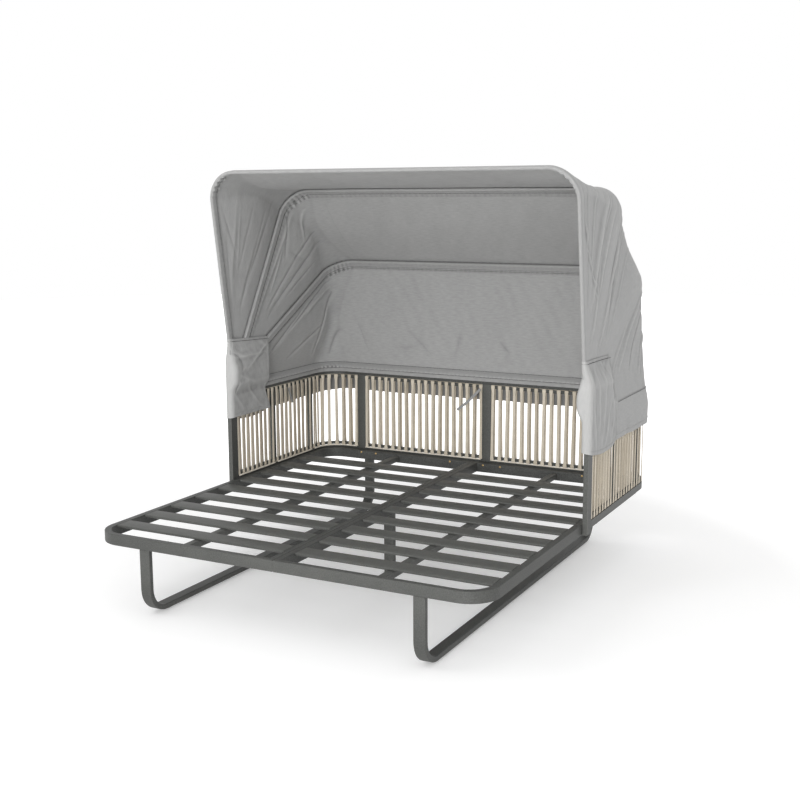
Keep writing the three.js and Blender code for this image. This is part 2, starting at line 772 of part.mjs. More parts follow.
function skirt() {
  const inner = wall_half + skirt_clear;
  const outer = inner + fabric_thickness;
  const front = front_post_y - post_width / 2 - flap_front_gap;
  const back = front + flap_length;
  const joined = back - fabric_thickness;
  const seam_low = hem_z - fabric_thickness;
  const lip = top_rail_top - lip_overlap;
  const flap_low = hem_z - flap_drop;
  const flap_high = hem_z + flap_rise;
  let solid = solidOf(wallBand(-outer, -inner, joined, lip, hem_z, 0));
  solid = solid.add(solidOf(wallBand(inner, outer, joined, hem_z - skirt_drop, hem_z, 0)));
  solid = solid.add(solidOf(wallBand(-outer, outer, joined, seam_low, hem_z, 0)));
  const bolt_end = wall_half + touch + bolt_head_height;
  const face = wall_centre + bolt_end + fabric_clear;
  const face_out = face + fabric_thickness;
  const behind = bows[2].x - bow_thickness / 2 - touch - nut_height - fabric_clear;
  const behind_in = behind - fabric_thickness;
  const lip_out = wall_centre - inner;
  const lip_in = wall_centre - outer;
  const pieces = [
    [face, face_out, front, back, flap_low, flap_high],
    [wall_centre + inner, face_out, joined, back, flap_low, hem_z],
    [wall_centre - outer, face_out, joined, back, seam_low, hem_z],
    [lip_in, lip_out, front, back, flap_low, hem_z],
    [behind_in, behind, front, back, seam_low, flap_high],
    [behind_in, lip_out, front, back, seam_low, hem_z],
    [lip_in, face_out, front, front + fabric_thickness, flap_low, flap_high],
    [behind_in, lip_out, front, front + fabric_thickness, seam_low, flap_high],
  ];
  for (const [x0, x1, y0, y1, z0, z1] of pieces) {
    solid = solid.add(solidOf(box(x0, x1, y0, y1, z0, z1)));
    solid = solid.add(solidOf(box(-x1, -x0, y0, y1, z0, z1)));
  }
  return geometryOf(solid);
}

add('canopy_skirt', skirt(), grey_fabric);

// The whole is moved so that its origin is at the middle of its underside

const extent = new THREE.Box3().setFromObject(daybed);
const origin_y = (extent.min.y + extent.max.y) / 2;
daybed.position.set(0, -origin_y, 0);
const height = extent.max.z - extent.min.z;
console.log(`the origin is ${origin_y.toFixed(3)} mm behind the deck's front`);
console.log(`height ${height.toFixed(1)} mm`);

export default daybed;
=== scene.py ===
# %% [markdown]
# The outdoor daybed with its canopy is dressed here, piece by piece. The metal frame comes ready made
# from CAD. What Blender adds is the finish of each surface, the wound rope, the sewn canopy, its
# sleeves, flaps and skirt, and the small fasteners.

# %% Load the frame
import math

import bmesh
import bpy
import numpy as np
from mathutils import Matrix, Vector
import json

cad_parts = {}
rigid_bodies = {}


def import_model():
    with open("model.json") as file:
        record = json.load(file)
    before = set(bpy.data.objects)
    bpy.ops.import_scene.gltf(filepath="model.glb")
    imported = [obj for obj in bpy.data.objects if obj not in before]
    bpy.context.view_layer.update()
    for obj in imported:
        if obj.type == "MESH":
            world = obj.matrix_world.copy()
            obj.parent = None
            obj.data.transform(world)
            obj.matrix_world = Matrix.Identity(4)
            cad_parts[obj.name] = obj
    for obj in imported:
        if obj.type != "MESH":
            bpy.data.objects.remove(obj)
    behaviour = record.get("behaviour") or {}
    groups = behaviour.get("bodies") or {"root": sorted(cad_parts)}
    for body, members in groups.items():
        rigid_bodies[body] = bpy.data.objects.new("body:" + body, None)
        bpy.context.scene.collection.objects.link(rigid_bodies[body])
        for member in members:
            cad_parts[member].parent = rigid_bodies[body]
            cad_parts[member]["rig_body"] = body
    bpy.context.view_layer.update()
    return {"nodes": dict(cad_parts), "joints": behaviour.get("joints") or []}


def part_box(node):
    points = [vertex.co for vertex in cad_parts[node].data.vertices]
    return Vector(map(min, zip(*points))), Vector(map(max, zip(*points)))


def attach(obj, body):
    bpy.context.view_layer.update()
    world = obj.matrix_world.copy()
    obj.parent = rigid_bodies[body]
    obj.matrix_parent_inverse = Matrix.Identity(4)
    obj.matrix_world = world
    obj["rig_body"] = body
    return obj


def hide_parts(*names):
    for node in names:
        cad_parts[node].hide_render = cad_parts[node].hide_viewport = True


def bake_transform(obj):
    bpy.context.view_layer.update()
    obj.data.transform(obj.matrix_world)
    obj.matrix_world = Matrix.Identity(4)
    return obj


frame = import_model()
nodes = frame["nodes"]
scene = bpy.context.scene
print("nodes from CAD:", len(nodes))

# %% [markdown]
# A camera is a focal length, a place and a direction. The place and the angles come from fitting the
# straight edges of the deck in the photograph, which fixes the view better than moving the camera by eye.

# %% Camera
sensor_width_mm = 36.0
picture_side = 800
focal_pixels = 1182.1
camera_place = Vector((2.1886, -4.1164, 1.5286))
camera_yaw = -0.4815
camera_pitch = 0.1727
camera_roll = -0.0048


def aim_camera():
    forward = Vector((math.sin(camera_yaw) * math.cos(camera_pitch),
                      math.cos(camera_yaw) * math.cos(camera_pitch),
                      -math.sin(camera_pitch)))
    level = forward.cross(Vector((0, 0, 1))).normalized()
    upward = level.cross(forward)
    right = math.cos(camera_roll) * level + math.sin(camera_roll) * upward
    top = math.cos(camera_roll) * upward - math.sin(camera_roll) * level
    turn = Matrix((right, top, -forward)).transposed()
    return Matrix.Translation(camera_place) @ turn.to_4x4()


lens = bpy.data.cameras.new("view")
lens.sensor_width = sensor_width_mm
lens.lens = focal_pixels / picture_side * sensor_width_mm
camera = bpy.data.objects.new("view", lens)
camera.matrix_world = aim_camera()
scene.collection.objects.link(camera)
scene.camera = camera
print("lens in mm:", round(lens.lens, 2))

# %% [markdown]
# A material is a small graph. Writing its arithmetic as Python expressions keeps it readable, so one
# small class wraps a socket and turns + - * / into Math nodes. Every other node comes from one method.

# %% Shader helpers


class Signal:
    """A number that changes over the surface. Sums and products of it add Math nodes."""

    def __init__(self, paint, socket):
        self.paint = paint
        self.socket = socket

    def math(self, operation, *values):
        settings = {"operation": operation}
        return self.paint.node("ShaderNodeMath", settings, dict(enumerate(values)))

    def __add__(self, other):
        return self.math("ADD", self, other)

    def __sub__(self, other):
        return self.math("SUBTRACT", self, other)

    def __rsub__(self, other):
        return self.math("SUBTRACT", other, self)

    def __mul__(self, other):
        return self.math("MULTIPLY", self, other)

    def __truediv__(self, other):
        return self.math("DIVIDE", self, other)

    __radd__ = __add__
    __rmul__ = __mul__

    def wave(self):
        return self.math("SINE", self)

    def positive(self):
        return self.math("MAXIMUM", self, 0.0)

    def clamped(self):
        return self.math("MINIMUM", self.positive(), 1.0)


class Paint:
    """One material with its Principled shader and a method that adds any node."""

    def __init__(self, name):
        self.material = bpy.data.materials.new(name)
        self.material.use_nodes = True
        self.tree = self.material.node_tree
        self.shader = self.tree.nodes["Principled BSDF"]

    def node(self, kind, settings=None, sockets=None, output=0):
        made = self.tree.nodes.new(kind)
        for key, value in (settings or {}).items():
            if key == "stops":
                self.set_stops(made.color_ramp, value)
            else:
                setattr(made, key, value)
        for key, value in (sockets or {}).items():
            self.feed(made.inputs[key], value)
        return Signal(self, made.outputs[output])

    def set_stops(self, ramp, stops):
        while len(ramp.elements) < len(stops):
            ramp.elements.new(0.5)
        for element, (place, colour) in zip(ramp.elements, stops):
            element.position = place
            element.color = (*colour, 1)

    def feed(self, socket, value):
        if isinstance(value, Signal):
            self.tree.links.new(value.socket, socket)
        else:
            socket.default_value = value

    def place(self):
        return self.node("ShaderNodeTexCoord", None, None, "Object")

    def cut(self):
        return self.node("ShaderNodeUVMap", {"uv_map": "UVMap"})

    def axes(self, vector):
        split = self.node("ShaderNodeSeparateXYZ", None, {0: vector})
        outputs = split.socket.node.outputs
        return [Signal(self, outputs[i]) for i in range(3)]

    def noise(self, vector, scale, detail=2.0, rough=0.5):
        sockets = {"Vector": vector, "Scale": scale, "Detail": detail, "Roughness": rough}
        return self.node("ShaderNodeTexNoise", None, sockets)

    def stretched(self, vector, scales):
        return self.node("ShaderNodeMapping", None, {"Vector": vector, "Scale": scales})

    def mixed(self, share, first, second):
        """A colour between two. A Mix node's colours are its inputs 6 and 7 and its output 2."""
        return self.node("ShaderNodeMix", {"data_type": "RGBA"}, {0: share, 6: first, 7: second}, 2)

    def bump(self, height, depth, strength=1.0, below=None):
        sockets = {"Height": height, "Distance": depth, "Strength": strength}
        if below is not None:
            sockets["Normal"] = below
        return self.node("ShaderNodeBump", None, sockets)

    def finish(self, colour, roughness, normal=None, metallic=0.0):
        self.feed(self.shader.inputs["Base Color"], colour)
        self.feed(self.shader.inputs["Roughness"], roughness)
        self.feed(self.shader.inputs["Metallic"], metallic)
        if normal is not None:
            self.feed(self.shader.inputs["Normal"], normal)
        return self.material


def linear(*levels):
    """A colour given as screen levels from 0 to 255, as the linear numbers a shader needs."""
    shares = [level / 255 for level in levels]
    return [s / 12.92 if s <= 0.04045 else ((s + 0.055) / 1.055) ** 2.4 for s in shares]


def rgba(*levels):
    return (*linear(*levels), 1.0)


# %% [markdown]
# The metal is powder coated: a faint orange peel and fine dark and light grains. Every edge is painted
# paler, partly where the coat draws thin and partly as a painted highlight. Pointiness finds those edges.

# %% Powder coat
coat_colour = rgba(84, 85, 82)
coat_dark = rgba(38, 39, 38)
coat_edge_wear_and_highlight = rgba(124, 125, 120)
grain_scale = 900.0
peel_scale = 260.0
speck_scale = 230.0
cloud_scale = 9.0
edge_pointiness = 0.52


def powder_coat():
    paint = Paint("powder_coat")
    place = paint.place()
    grain = paint.noise(place, grain_scale, 2.0)
    peel = paint.noise(place, peel_scale, 1.0)
    cloudy = paint.noise(place, cloud_scale, 3.0)
    edge_sharpness = paint.node("ShaderNodeNewGeometry", None, None, "Pointiness")
    edge = ((edge_sharpness - edge_pointiness) * 7.0).clamped()
    speck = paint.noise(place, speck_scale, 2.0)
    spread = (speck * 1.3 + cloudy * 0.5 + grain * 0.3 - 0.6).clamped()
    tone = paint.mixed(spread, coat_dark, coat_colour)
    # Painted highlight along the edges, partly standing for the thin coat there.
    colour = paint.mixed(edge * 0.55, tone, coat_edge_wear_and_highlight)
    rough = 0.42 + grain * 0.16 + cloudy * 0.08
    height = peel * 0.7 + grain * 0.3
    return paint.finish(colour, rough, paint.bump(height, 0.00025, 0.6))


coat = powder_coat()

# %% [markdown]
# The glides are moulded rubber. The pivot bolts are plain plated steel, and the small bolts in the back
# rail have a brass tint. All are small, so a fine noise in colour and roughness is enough to keep them
# from looking like plain plastic.

# %% Rubber and plated steel


def moulded_rubber():
    paint = Paint("glide_rubber")
    grain = paint.noise(paint.place(), 500.0, 3.0)
    colour = paint.mixed(grain, rgba(22, 22, 22), rgba(40, 40, 40))
    return paint.finish(colour, 0.6 + grain * 0.2, paint.bump(grain, 0.0002, 0.5))


def plated_steel(name, dark, light):
    paint = Paint(name)
    brushed = paint.noise(paint.stretched(paint.place(), (1.0, 1.0, 6.0)), 700.0, 3.0)
    spots = paint.noise(paint.place(), 240.0, 2.0)
    colour = paint.mixed(spots, dark, light)
    rough = 0.24 + brushed * 0.22
    return paint.finish(colour, rough, paint.bump(brushed, 0.0001, 0.4), 1.0)


rubber = moulded_rubber()
brass = plated_steel("brass_plated_steel", rgba(140, 112, 72), rgba(206, 178, 128))
steel = plated_steel("bolt_steel", rgba(120, 120, 118), rgba(176, 176, 172))

# %% [markdown]
# The canopy is a dyed plain weave. Its colour comes from two threads of slightly different grey, so it
# looks mottled from near by. The pattern reads a UV map laid out in metres, as cut cloth is, and the
# bump gives the weave and the soft creases that are too small for the mesh. An attribute that says how
# folded the cloth is paints shade into its valleys and a highlight onto its ridges.

# %% Canopy cloth
thread_pitch = 0.0011
slub_scales = (900.0, 60.0, 1.0)
slub_across_scales = (60.0, 900.0, 1.0)
streak_scales = (240.0, 34.0, 1.0)
soft_crease_scales = (14.0, 14.0, 6.0)
cloth_light = rgba(175, 175, 174)
cloth_dark = rgba(150, 150, 150)
cloth_valley_shade = rgba(96, 96, 96)
cloth_ridge_highlight = rgba(206, 206, 204)


def woven_cloth(name, light, dark):
    paint = Paint(name)
    cut = paint.cut()
    across, along, _ = paint.axes(cut)
    turns = 2 * math.pi / thread_pitch
    warp = (across * turns).wave()
    weft = (along * turns).wave()
    weave = warp * weft * 0.5 + 0.5
    slub = paint.noise(paint.stretched(cut, slub_scales), 1.0, 2.0)
    slub_across = paint.noise(paint.stretched(cut, slub_across_scales), 1.0, 2.0)
    streaks = paint.noise(paint.stretched(cut, streak_scales), 1.0, 2.0)
    faded = paint.noise(paint.place(), 3.0, 3.0)
    yarns = slub * 0.3 + slub_across * 0.3 + weave * 0.1
    mottled = (yarns + streaks * 1.1 + faded * 0.3 - 0.55).clamped()
    fold = paint.node("ShaderNodeAttribute", {"attribute_name": "fold"}, None, "Fac")
    colour = paint.mixed(mottled, dark, light)
    # Painted shade in the valleys and a painted highlight on the ridges, read from the fold attribute.
    colour = paint.mixed(fold.clamped() * 0.6, colour, cloth_valley_shade)
    colour = paint.mixed((fold * -1.0).clamped() * 0.30, colour, cloth_ridge_highlight)
    crease = paint.noise(paint.stretched(paint.place(), soft_crease_scales), 1.0, 3.0, 0.55)
    soft = paint.bump(crease, 0.009, 0.35)
    fine = paint.bump(weave * 0.6 + slub * 0.4, 0.0003, 0.5, soft)
    paint.shader.inputs["Sheen Weight"].default_value = 0.15
    paint.shader.inputs["Sheen Roughness"].default_value = 0.5
    return paint.finish(colour, 0.86 + slub * 0.1, fine)


cloth = woven_cloth("canopy_cloth", cloth_light, cloth_dark)
trim = woven_cloth("canopy_trim", rgba(164, 164, 163), rgba(138, 138, 138))


def sewing_thread(name, dark, light):
    paint = Paint(name)
    twist = paint.noise(paint.place(), 1500.0, 2.0)
    colour = paint.mixed(twist, dark, light)
    return paint.finish(colour, 0.7 + twist * 0.2, paint.bump(twist, 0.0002, 0.5))


# The seam thread is dark: it is real thread, and also painted shade for the shadow gaps along the seams.
thread = sewing_thread("dark_thread", rgba(46, 46, 46), rgba(70, 70, 69))
pale_thread = sewing_thread("pale_thread", rgba(150, 150, 149), rgba(188, 188, 186))

# %% [markdown]
# The rope is a flat braid. Its UV map runs across the width and along the length, so two sine waves that
# cross make the braid's diamonds, with a painted highlight on their crests and painted shade in the grooves
# between them. A slow noise along the length makes the yarn's change of tone.

# %% Rope braid
braid_pitch = 0.006
rope_light = rgba(236, 227, 211)
rope_dark = rgba(166, 153, 131)
rope_groove_shade = rgba(98, 86, 68)


def rope_braid():
    paint = Paint("rope_braid")
    across, along, _ = paint.axes(paint.cut())
    turns = 2 * math.pi / braid_pitch
    left = (along * turns + across * turns).wave()
    right = (along * turns - across * turns).wave()
    strands = left.math("MAXIMUM", left, right) * 0.5 + 0.5
    yarn = paint.noise(paint.place(), 26.0, 3.0)
    fuzz = paint.noise(paint.place(), 900.0, 2.0)
    turn_tone = paint.node("ShaderNodeAttribute", {"attribute_name": "tone"}, None, "Fac")
    shade = (strands * 0.3 + yarn * 0.4 + turn_tone * 0.35 + fuzz * 0.15 - 0.1).clamped()
    flat = paint.mixed(shade, rope_dark, rope_light)
    # Painted shade in the grooves between the braid's strands.
    groove_shade = (0.35 - strands).positive() * 1.6
    colour = paint.mixed(groove_shade.clamped(), flat, rope_groove_shade)
    braid = paint.bump(strands, 0.0008, 0.8)
    return paint.finish(colour, 0.82 + fuzz * 0.12, paint.bump(fuzz, 0.0002, 0.5, braid))


braid = rope_braid()

# %% [markdown]
# Each rigid piece keeps its CAD shape. A copy has its doubled points merged and a small bevel, because a
# real tube has a rounded edge that catches a line of light, and the bare solid's edge is a razor's.

# %% Metal pieces
edge_round = 0.0014
merge_distance = 1e-5
flat_angle = math.radians(0.5)
smooth_angle = math.radians(32)
soft_nodes = {"front_canopy_panel", "middle_canopy_panel", "rear_canopy_panel", "canopy_skirt"}
rope_nodes = {name for name in nodes if "rope" in name}


def finish_for(name):
    if "glide" in name:
        return rubber, "glide_rubber"
    if "bolt" in name:
        return steel, "bolt_steel"
    return coat, "frame_paint"


def rounded_copy(name):
    source = nodes[name]
    mesh = bpy.data.meshes.new(name + "_finished")
    shape = bmesh.new()
    shape.from_mesh(source.data)
    bmesh.ops.remove_doubles(shape, verts=shape.verts, dist=merge_distance)
    bmesh.ops.dissolve_limit(shape, angle_limit=flat_angle, verts=shape.verts, edges=shape.edges)
    for edge in shape.edges:
        edge.smooth = edge.calc_face_angle(0.0) < smooth_angle
    for face in shape.faces:
        face.smooth = True
    shape.to_mesh(mesh)
    shape.free()
    piece = bpy.data.objects.new(name + "_finished", mesh)
    scene.collection.objects.link(piece)
    bevel = piece.modifiers.new("edges", "BEVEL")
    bevel.width = edge_round
    bevel.segments = 2
    bevel.limit_method = "ANGLE"
    bevel.angle_limit = smooth_angle
    bevel.harden_normals = True
    return piece


for name in sorted(nodes):
    if name in soft_nodes or name in rope_nodes:
        continue
    material, slot_name = finish_for(name)
    nodes[name].data.materials.clear()
    nodes[name].data.materials.append(material)
    piece = rounded_copy(name)
    piece.data.materials.append(material)
    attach(piece, nodes[name]["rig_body"])
    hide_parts(name)
print("metal pieces finished:", len(nodes) - len(soft_nodes) - len(rope_nodes))

# %% [markdown]
# A cloth piece is two grids of points, the outer and the inner face, joined at the rim. One function
# turns rows of points and their normals into such a closed sheet with a UV map in metres.

# %% Sheet builder
cloth_thickness = 0.0012
fold_reaches = ((1, 0.17), (4, 1.5))


def grid_normals(points):
    along = np.gradient(points, axis=0)
    across = np.gradient(points, axis=1)
    normals = np.cross(across, along)
    lengths = np.linalg.norm(normals, axis=2, keepdims=True)
    return normals / np.maximum(lengths, 1e-12)


def grid_lengths(points):
    """Running lengths down the rows and across the columns, in metres, for the UV map."""
    down = np.linalg.norm(np.diff(points, axis=0), axis=2).mean(1)
    across = np.linalg.norm(np.diff(points, axis=1), axis=2).mean(0)
    down = np.concatenate([[0], np.cumsum(down)])
    across = np.concatenate([[0], np.cumsum(across)])
    return np.stack(np.meshgrid(across, down), axis=2)


def fold_amount(points, normals):
    """How far each point lies in a valley, seen from the normal's side: -1 on a ridge, 1 in a valley.

    It adds up a near look, for sharp creases, and a wide look, for broad folds."""
    step = np.linalg.norm(np.diff(points, axis=0), axis=2).mean()
    total = np.zeros(points.shape[:2])
    for reach, full in fold_reaches:
        if reach >= min(points.shape[:2]):
            continue
        rows = np.pad(points, ((reach, reach), (0, 0), (0, 0)), mode="reflect", reflect_type="odd")
        columns = np.pad(points, ((0, 0), (reach, reach), (0, 0)), mode="reflect", reflect_type="odd")
        around = rows[:-2 * reach] + rows[2 * reach:]
        around = (around + columns[:, :-2 * reach] + columns[:, 2 * reach:]) / 4
        total += np.sum((around - points) * normals, axis=2) / step / full
    return np.clip(total, -1, 1)


def layers(points, normals, lengths, first_index, thickness, painted_shade_face):
    """Vertices, faces, UVs, vertex normals and folds of one closed sheet.

    The face on the normals' side gets painted shade all over, by the amount given."""
    rows, columns = points.shape[:2]
    half = normals * thickness / 2
    vertices = np.concatenate([(points + half).reshape(-1, 3), (points - half).reshape(-1, 3)])
    shade = np.concatenate([normals.reshape(-1, 3), -normals.reshape(-1, 3)])
    uv = np.concatenate([lengths.reshape(-1, 2)] * 2)
    index = np.arange(rows * columns).reshape(rows, columns)
    below = index + rows * columns
    quads = [index[:-1, :-1], index[:-1, 1:], index[1:, 1:], index[1:, :-1]]
    outer = np.stack(quads, axis=2).reshape(-1, 4)
    inner = outer[:, ::-1] + rows * columns
    rim = []
    for edge in (index[0], index[-1, ::-1], index[::-1, 0], index[:, -1]):
        low = below.reshape(-1)[edge]
        rim.append(np.stack([edge[:-1], low[:-1], low[1:], edge[1:]], axis=1))
    faces = np.concatenate([outer, inner, *rim]) + first_index
    fold = fold_amount(points, normals).reshape(-1)
    return vertices, faces, uv, shade, np.concatenate([fold + painted_shade_face, -fold])


def sheet_piece(name, patches, material, thickness=cloth_thickness, painted_shade_face=0.0):
    """One object from several patches, each a tuple of points, normals and lengths."""
    made, count = [], 0
    for points, normals, lengths in patches:
        made.append(layers(points, normals, lengths, count, thickness, painted_shade_face))
        count += len(made[-1][0])
    vertices, faces, uvs, shades, folds = (np.concatenate(parts) for parts in zip(*made))
    mesh = bpy.data.meshes.new(name)
    mesh.from_pydata(vertices.tolist(), [], faces.tolist())
    layer = mesh.uv_layers.new(name="UVMap")
    layer.data.foreach_set("uv", uvs[faces.reshape(-1)].reshape(-1))
    amount = mesh.attributes.new("fold", "FLOAT", "POINT")
    amount.data.foreach_set("value", folds)
    mesh.polygons.foreach_set("use_smooth", [True] * len(faces))
    mesh.normals_split_custom_set_from_vertices(shades.tolist())
    mesh.materials.append(material)
    piece = bpy.data.objects.new(name, mesh)
    scene.collection.objects.link(piece)
    return piece


def cloth_area(patches):
    """The area of the patches' middle faces, in square metres."""
    total = 0.0
    for points, _, _ in patches:
        first = points[1:, :-1] - points[:-1, :-1]
        second = points[:-1, 1:] - points[:-1, :-1]
        total += float(np.linalg.norm(np.cross(first, second), axis=2).sum())
    return total


def flat_strip(patches, length):
    """The flat size of a strip of a known length, from its area."""
    return cloth_area(patches) / length, length


def sewn_sheet(name, body, patches, look, flat, node=None):
    """A sheet that moves with one body. Its look is a material, a thickness and how much painted shade one
    face gets.
    """
    piece = sheet_piece(name, patches, *look)
    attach(piece, body)
    if node:
        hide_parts(node)
    print(name, round(flat[0], 3), "by", round(flat[1], 3), "m")


# %% [markdown]
# The three bows turn about one axis. In the half plane at an angle about that axis the canopy is always
# a hoop: a leg, a rounded corner and the roof. So the whole cover is one formula of the angle and of
# the way round the hoop, and the bows' own sizes are read from their CAD solids.

# %% Bows
pivot = np.array(frame["joints"][0]["pos_m"])
bow_half_width = 0.011
bow_half_thickness = 0.0045
bow_corner = 0.12
bar_slack = 0.002
cover_clear = 0.0016
over_bow = bow_half_thickness + cover_clear


class Bow:
    """Where a bow stands: its lean back from upright, its reach and the place of its legs."""

    def __init__(self, name, body):
        corners = np.array([v.co for v in nodes[name].data.vertices]) - pivot
        inner = np.abs(corners[:, 0])
        bar = corners[inner < inner.min() + bar_slack]
        y, z = ((bar.min(0) + bar.max(0)) / 2)[1:]
        self.name = name
        self.body = body
        self.lean = math.atan2(y, z)
        self.reach = math.hypot(y, z)
        self.half = corners[:, 0].max() - bow_half_thickness
        self.corner = bow_corner


front_bow = Bow("front_bow", "front_bow_body")
middle_bow = Bow("middle_bow", "middle_bow_body")
rear_bow = Bow("rear_bow", "rear_bow_body")
for bow in (front_bow, middle_bow, rear_bow):
    lean = round(math.degrees(bow.lean), 1)
    print(bow.name, "leans", lean, "reach", round(bow.reach, 3), "half", round(bow.half, 4))

# %% [markdown]
# The wall's own line carries the hem. It is a U with round corners, and its sizes are read from the top
# rail's box.

# %% Wall line
rail_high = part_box("surround_top_rail")[1]
rail_half = 0.010
wall_half_width = rail_high.x - rail_half
wall_back = rail_high.y - rail_half
wall_corner = 0.1203
hem_rise = 0.034
hem_clear = 0.002
hem_out = rail_half + hem_clear
hem_height = rail_high.z + hem_rise
hem_drop = pivot[2] - hem_height


class Hem:
    """The seam on the wall, written as if it were one more bow that the rear panel ends on."""

    body = "daybed_frame"
    half = wall_half_width + hem_out
    corner = wall_corner + hem_out
    back = wall_back + hem_out - pivot[1]
    lean = math.pi / 2 + math.atan2(hem_drop, back)
    reach = math.hypot(hem_drop, back)


print("hem at", round(hem_height, 4), "below the pivot by", round(hem_drop, 4))

# %% [markdown]
# Between two bows the cloth runs straight. Where it goes round the corner nothing holds it out, so it is
# drawn in and folds to a tighter edge from one bow's corner to the next, with the wall and the roof
# hollowed on either side of that edge.

# %% Cover shape
wall_hollow_from = 0.36
roof_hollow_from = 0.36
side_hollow = 0.006
side_hollow_from = 0.1
side_hollow_over = 0.5
roof_hollow = 0.010
roof_hollow_half = 0.62
cover_limit_share = 0.3
least_rise = 0.01
band_radii = (0.06, 0.18, 0.38, 0.69)
grid_step = 0.0052


class Edge:
    """How the folded edge between two bows' corners is drawn: its radius, and how far it is pulled in."""

    def __init__(self, radius, inward, drop):
        self.radius = radius
        self.inward = inward
        self.drop = drop


bow_edge = Edge(0.040, 0.030, 0.031)
hem_edge = Edge(0.045, 0.016, 0.016)


def edge_for(end):
    return hem_edge if end is Hem else bow_edge


def rise_at(end):
    """How far the cover stands off the end that it is drawn to."""
    return 0.0 if end is Hem else over_bow


def smooth(share):
    share = np.clip(share, 0, 1)
    return share * share * (3 - 2 * share)


def turning(sideways):
    """From the sideways part of a normal: 0 on a side or on the roof or back, 1 midway round a corner."""
    return 4 * sideways ** 2 * (1 - sideways ** 2)


def chord(angle, r_a, a, r_b, b):
    """The distance from the pivot to the straight line between two polar points."""
    return r_a * r_b * np.sin(b - a) / (r_a * np.sin(angle - a) + r_b * np.sin(b - angle))


def roof_reach(angle, start, end):
    r_a = start.reach + over_bow
    r_b = end.reach + rise_at(end)
    flat_a = math.atan2(bow_half_width, r_a)
    flat_b = 0.0 if end is Hem else math.atan2(bow_half_width, r_b)
    a = start.lean + flat_a
    b = end.lean - flat_b
    middle = chord(angle, r_a / math.cos(flat_a), a, r_b / math.cos(flat_b), b)
    over_a = r_a / np.cos(angle - start.lean)
    over_b = r_b / np.cos(end.lean - angle)
    reach = np.where(angle < a, over_a, np.where(angle > b, over_b, middle))
    return reach, np.clip((angle - a) / (b - a), 0, 1)


def side_share(angle, radius, start, end_angle, over_end):
    span = radius * (end_angle - start.lean)
    cover = np.minimum(bow_half_width, cover_limit_share * span)
    last = cover if over_end else 0.0
    return np.clip((radius * (angle - start.lean) - cover) / (span - cover - last), 0, 1)


def hem_angle(radius):
    return math.pi / 2 + np.arcsin(np.clip(hem_drop / radius, 0, 1))


def hoop(angle, start, end):
    """Half width, reach and corner radius of the hoop at an angle, and how far it is between the bows."""
    reach, share = roof_reach(angle, start, end)
    between = np.sin(math.pi * share)
    half = (1 - share) * (start.half + over_bow) + share * (end.half + rise_at(end))
    corner = (1 - share) * (start.corner + over_bow) + share * (end.corner + rise_at(end))
    corner = corner + (edge_for(end).radius - corner) * between
    return half, reach, corner, between


def side_x(angle, radius, start, end, end_angle):
    """How far out the side wall stands, at a distance from the pivot."""
    _, reach, corner, _ = hoop(angle, start, end)
    share = side_share(angle, radius, start, end_angle, end is not Hem)
    half = (1 - share) * (start.half + over_bow) + share * (end.half + rise_at(end))
    between = np.sin(math.pi * share)
    high = smooth((radius - wall_hollow_from) / (reach - corner - wall_hollow_from))
    grown = smooth((radius - side_hollow_from) / side_hollow_over)
    half = half - side_hollow * between * grown - edge_for(end).inward * between * high
    past = np.clip((radius - (reach - corner)) / corner, 0, 1)
    return half - corner + corner * np.sqrt(1 - past * past)


def top_point(angle, way, start, end, end_angle):
    """Half width and radius at a share of the way from the bands' outer radius to the roof's middle."""
    r_c = band_radii[-1]
    half, reach, corner, between = hoop(angle, start, end)
    share = side_share(angle, r_c, start, end_angle, end is not Hem)
    side_between = np.sin(math.pi * share)
    half = half - side_hollow * side_between
    spring = reach - corner
    straight = np.maximum(spring - r_c, 0)
    begin = np.arcsin(np.clip((r_c - spring) / corner, 0, 1))
    bend = corner * (math.pi / 2 - begin)
    total = straight + bend + half - corner
    run = way * total
    turned = begin + np.clip((run - straight) / corner, 0, math.pi / 2 - begin)
    x = np.where(run < straight, half, half - corner + corner * np.cos(turned))
    r = np.where(run < straight, r_c + run, spring + corner * np.sin(turned))
    past = np.clip(run - straight - bend, 0, None)
    x = x - past
    outward = smooth((x - roof_hollow_from) / (half - corner - roof_hollow_from))
    high = smooth((r - wall_hollow_from) / (spring - wall_hollow_from))
    above = smooth((r - r_c) / np.maximum(spring - r_c, least_rise))
    edge = edge_for(end)
    return x - edge.inward * side_between * high * outward, r - edge.drop * between * above * outward


# %% [markdown]
# Real cloth creases where it is pulled. A crease is a ridge along a line between two points, highest in
# its middle, with a shallow trough on either side and a crest that is sharper than a wave's. The lines fan
# out from the bows' corners down the walls, as they do in the photograph, over a slow ripple of waves.

# %% Creases
ripple_draws = np.random.default_rng(11)
taper_power = 0.7
crest_power = 1.35
trough_width_share = 2.2
trough_depth_share = 0.45
crease_gain = 1.25
wall_half = 0.79
broad, thin = 0.016, 0.0088


def ripple(points, length, count=9):
    """A smooth unevenness between about -1 and 1: waves of one length in many directions."""
    total = np.zeros(points.shape[:-1])
    for _ in range(count):
        way = ripple_draws.normal(size=3)
        way = way / np.linalg.norm(way) * 2 * math.pi / (length * ripple_draws.uniform(0.7, 1.4))
        total += np.cos(points @ way + ripple_draws.uniform(0, 2 * math.pi))
    return total / math.sqrt(count * 2)


